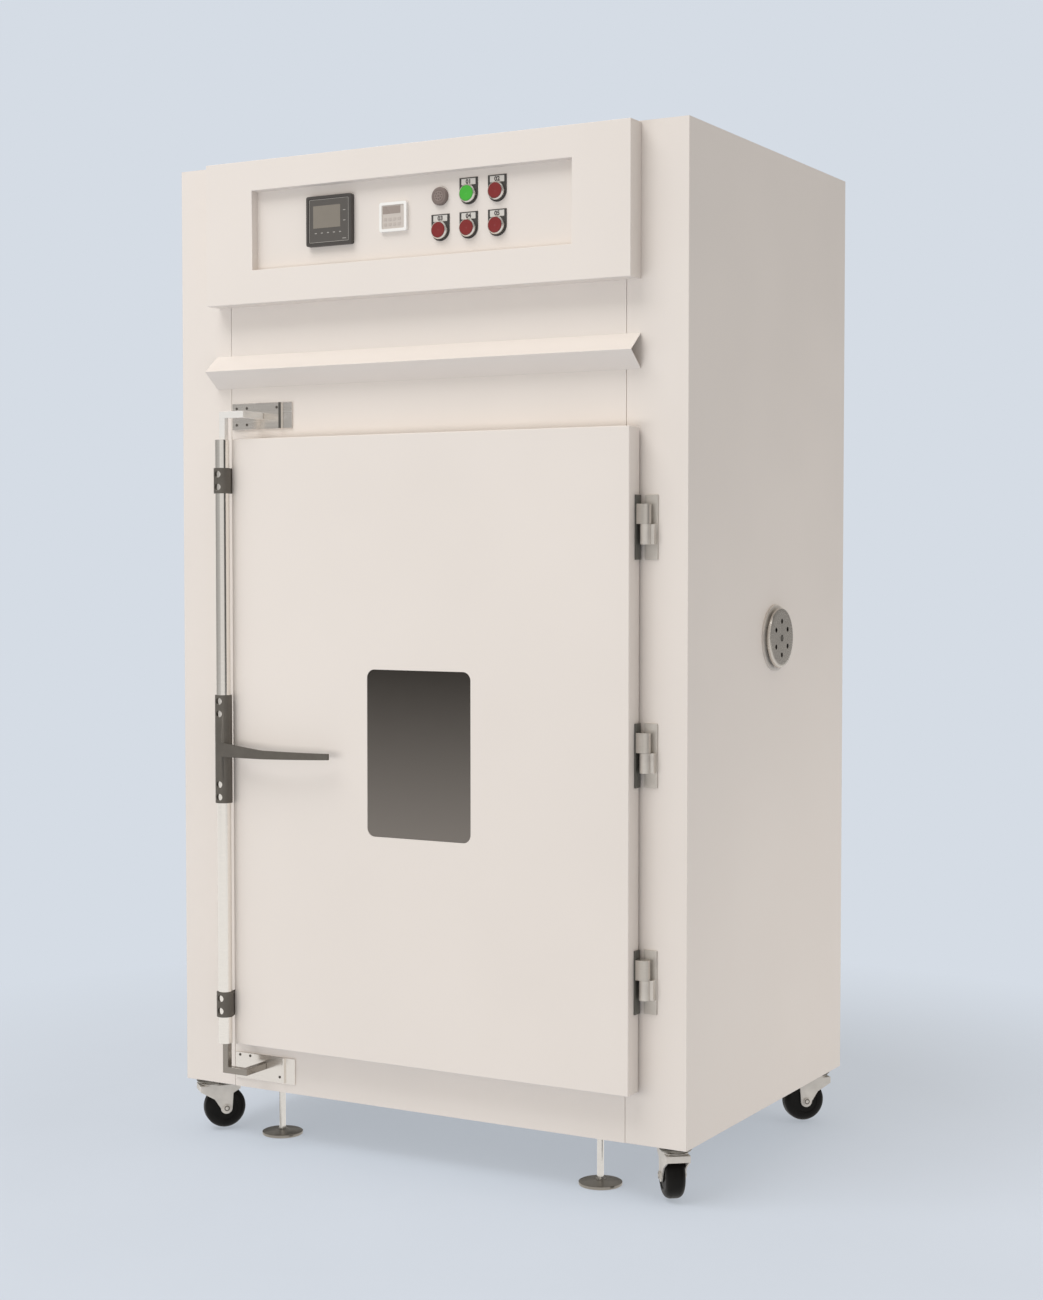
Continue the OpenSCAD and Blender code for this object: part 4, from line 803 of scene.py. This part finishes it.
# directions that the castors trail in, and how far an axle's end is from its middle
CASTOR_ANGLE = (49, 128, 224, 340)
AXLE_END = 23.5 * MM
AXLE_RING = [(5.2, -0.3), (5.2, 0.25), (3.9, 0.25), (3.5, 0.1), (0, 0.1)]
AXLE_DOME = [(3.3, 0.05), (3.1, 0.5), (2.0, 0.95), (0, 1.1)]


def axle_ends(k):
    """Dark ring and domed bolt end on both sides of a castor's fork."""
    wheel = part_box("castor_wheel_%d" % k)
    hub = (wheel[0] + wheel[1]) / 2
    angle = math.radians(CASTOR_ANGLE[k - 1])
    side = Vector((-math.sin(angle), math.cos(angle), 0))
    for name, profile, mat in (("axle_ring_%d" % k, AXLE_RING, M["bolt"]),
                               ("axle_dome_%d" % k, AXLE_DOME, M["zinc"])):
        def build(bm, profile=profile):
            for s in (-1, 1):
                m = Matrix.Translation(hub + side * s * AXLE_END) @ basis(side * s)
                lathe(bm, profile, m, 24)
        piece(name, build, mat, BODY_OF["castor_fork_%d" % k])


for k in range(1, 5):
    axle_ends(k)

# ---- floor, light and background ----------------------------------------
BACK = srgb(213, 220, 229)
# the studio in reflections: degrees from +X, counter-clockwise, and brightness
SHINE = ((-180, 0.34), (-122, 0.44), (-100, 0.50), (-90, 0.74), (-34, 0.70), (-26, 0.07),
         (2, 0.07), (18, 0.26), (75, 0.32), (112, 0.20), (135, 0.14), (150, 0.34), (180, 0.34))
# what lies below the horizon, and between which slopes it begins
SHINE_BELOW = (0.88, 0.868, 0.85, 1)
SHINE_SLOPES = (-0.10, -0.075)


def shine_color(nt, vec):
    """Studio seen in reflections: bands from side to side, bright below the horizon."""
    sep = nt.nodes.new("ShaderNodeSeparateXYZ")
    nt.links.new(vec, sep.inputs[0])
    turn = nt.nodes.new("ShaderNodeMath")
    turn.operation = "ARCTAN2"
    nt.links.new(sep.outputs["Y"], turn.inputs[0])
    nt.links.new(sep.outputs["X"], turn.inputs[1])
    ramp = nt.nodes.new("ShaderNodeValToRGB")
    for i, (angle, val) in enumerate(SHINE):
        if i in (0, len(SHINE) - 1):
            e = ramp.color_ramp.elements[0 if i == 0 else -1]
        else:
            e = ramp.color_ramp.elements.new((angle + 180) / 360)
        e.position = (angle + 180) / 360
        e.color = (val, val * 0.98, val * 0.955, 1)
    nt.links.new(remap(nt, turn.outputs[0], 0, 1, -math.pi, math.pi), ramp.inputs["Fac"])
    below = remap(nt, sep.outputs["Z"], 1, 0, *SHINE_SLOPES)
    blend = nt.nodes.new("ShaderNodeMix")
    blend.data_type = "RGBA"
    nt.links.new(below, blend.inputs[0])
    nt.links.new(ramp.outputs["Color"], blend.inputs[6])
    blend.inputs[7].default_value = SHINE_BELOW
    return blend.outputs[2]


FLOOR_HALF = 30.0
FLOOR_DOWN = 0.0005
# the floor glows half from the start, and fully from 1.9 m on
FADE_FROM, FADE_TO, LEAST_GLOW = 0.9, 1.9, 0.5
# how bright the glow is to other than camera rays
GLOW_UNSEEN = 0.85


def floor():
    bm = bmesh.new()
    bm.faces.new([bm.verts.new((sx * FLOOR_HALF, sy * FLOOR_HALF, 0))
                  for sx, sy in ((-1, -1), (1, -1), (1, 1), (-1, 1))])
    mesh = bpy.data.meshes.new("floor")
    bm.to_mesh(mesh)
    bm.free()
    obj = bpy.data.objects.new("floor", mesh)
    obj.location.z = -FLOOR_DOWN
    bpy.context.scene.collection.objects.link(obj)
    mat, nt, bsdf = new_material("floor")
    vec = coords(nt)
    nt.links.new(mix(nt, remap(nt, noise(nt, vec, 3, 3), 0, 1), srgb(206, 215, 228),
                     srgb(209, 218, 231)), bsdf.inputs["Base Color"])
    bsdf.inputs["Roughness"].default_value = 0.9
    bsdf.inputs["Specular IOR Level"].default_value = 0.1
    # the floor glows a little, so that the shadow stays pale, and fades into the backdrop
    tex = nt.nodes.new("ShaderNodeTexCoord")
    dist = nt.nodes.new("ShaderNodeVectorMath")
    dist.operation = "LENGTH"
    nt.links.new(tex.outputs["Object"], dist.inputs[0])
    fade = remap(nt, dist.outputs["Value"], LEAST_GLOW, 1, FADE_FROM, FADE_TO)
    glow = nt.nodes.new("ShaderNodeEmission")
    glow.inputs["Color"].default_value = BACK
    # what it bounces onto the object is a little dimmer than what the camera sees
    path = nt.nodes.new("ShaderNodeLightPath")
    nt.links.new(remap(nt, path.outputs["Is Camera Ray"], GLOW_UNSEEN, 1.0, 0, 1),
                 glow.inputs["Strength"])
    plain = nt.nodes.new("ShaderNodeMixShader")
    nt.links.new(fade, plain.inputs[0])
    nt.links.new(bsdf.outputs["BSDF"], plain.inputs[1])
    nt.links.new(glow.outputs[0], plain.inputs[2])
    # in reflections the floor carries on the studio's bands
    geo = nt.nodes.new("ShaderNodeNewGeometry")
    back = nt.nodes.new("ShaderNodeVectorMath")
    back.operation = "SCALE"
    back.inputs["Scale"].default_value = -1
    nt.links.new(geo.outputs["Incoming"], back.inputs[0])
    mirror = nt.nodes.new("ShaderNodeEmission")
    nt.links.new(shine_color(nt, back.outputs[0]), mirror.inputs["Color"])
    mixer = nt.nodes.new("ShaderNodeMixShader")
    out = [n for n in nt.nodes if n.type == "OUTPUT_MATERIAL"][0]
    nt.links.new(path.outputs["Is Glossy Ray"], mixer.inputs[0])
    nt.links.new(plain.outputs[0], mixer.inputs[1])
    nt.links.new(mirror.outputs[0], mixer.inputs[2])
    nt.links.new(mixer.outputs[0], out.inputs["Surface"])
    mesh.materials.append(mat)
    obj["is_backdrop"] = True


floor()


def world():
    """Backdrop for the camera, bands for reflections, warm light for the rest."""
    w = bpy.data.worlds.new("studio")
    w.use_nodes = True
    nt = w.node_tree
    nt.nodes.clear()
    out = nt.nodes.new("ShaderNodeOutputWorld")
    path = nt.nodes.new("ShaderNodeLightPath")
    seen = nt.nodes.new("ShaderNodeBackground")
    seen.inputs["Color"].default_value = BACK
    seen.inputs["Strength"].default_value = 1.0
    lit = nt.nodes.new("ShaderNodeBackground")
    lit.inputs["Color"].default_value = (1.0, 0.93, 0.84, 1)
    lit.inputs["Strength"].default_value = 0.60
    shine = nt.nodes.new("ShaderNodeBackground")
    tex = nt.nodes.new("ShaderNodeTexCoord")
    nt.links.new(shine_color(nt, tex.outputs["Generated"]), shine.inputs["Color"])
    m1 = nt.nodes.new("ShaderNodeMixShader")
    m2 = nt.nodes.new("ShaderNodeMixShader")
    nt.links.new(path.outputs["Is Glossy Ray"], m1.inputs[0])
    nt.links.new(lit.outputs[0], m1.inputs[1])
    nt.links.new(shine.outputs[0], m1.inputs[2])
    nt.links.new(path.outputs["Is Camera Ray"], m2.inputs[0])
    nt.links.new(m1.outputs[0], m2.inputs[1])
    nt.links.new(seen.outputs[0], m2.inputs[2])
    nt.links.new(m2.outputs[0], out.inputs["Surface"])
    bpy.context.scene.world = w


world()


def area(name, loc, target, size, power, color):
    data = bpy.data.lights.new(name, "AREA")
    data.shape = "RECTANGLE"
    data.size, data.size_y = size
    data.energy = power
    data.color = color
    obj = bpy.data.objects.new(name, data)
    bpy.context.scene.collection.objects.link(obj)
    obj.location = loc
    obj.rotation_euler = (Vector(target) - Vector(loc)).to_track_quat("-Z", "Y").to_euler()
    return obj


# place, aim and size in metres, watts, tint; only the key light shows in reflections
LAMPS = (("key", (-1.5, -3.4, 6.4), (0, 0, 0.9), (4.5, 3.2), 208, (0.98, 0.99, 1.0)),
         ("low_side", (1.65, 0.35, 0.3), (0.5, 0.2, 0.3), (1.2, 0.4), 3.0, (1.0, 0.95, 0.9)),
         ("low_front", (-0.7, -3.6, 0.5), (0, 0, 0.5), (2.4, 0.8), 27, (1.0, 0.98, 0.95)),
         ("high_side", (3.2, 0.6, 1.9), (0.5, 0, 1.5), (1.0, 1.0), 5, (1.0, 0.97, 0.94)))
for lamp in LAMPS:
    area(*lamp).visible_glossy = lamp[0] == "key"

bpy.context.scene.view_settings.view_transform = "Standard"

lo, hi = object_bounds()
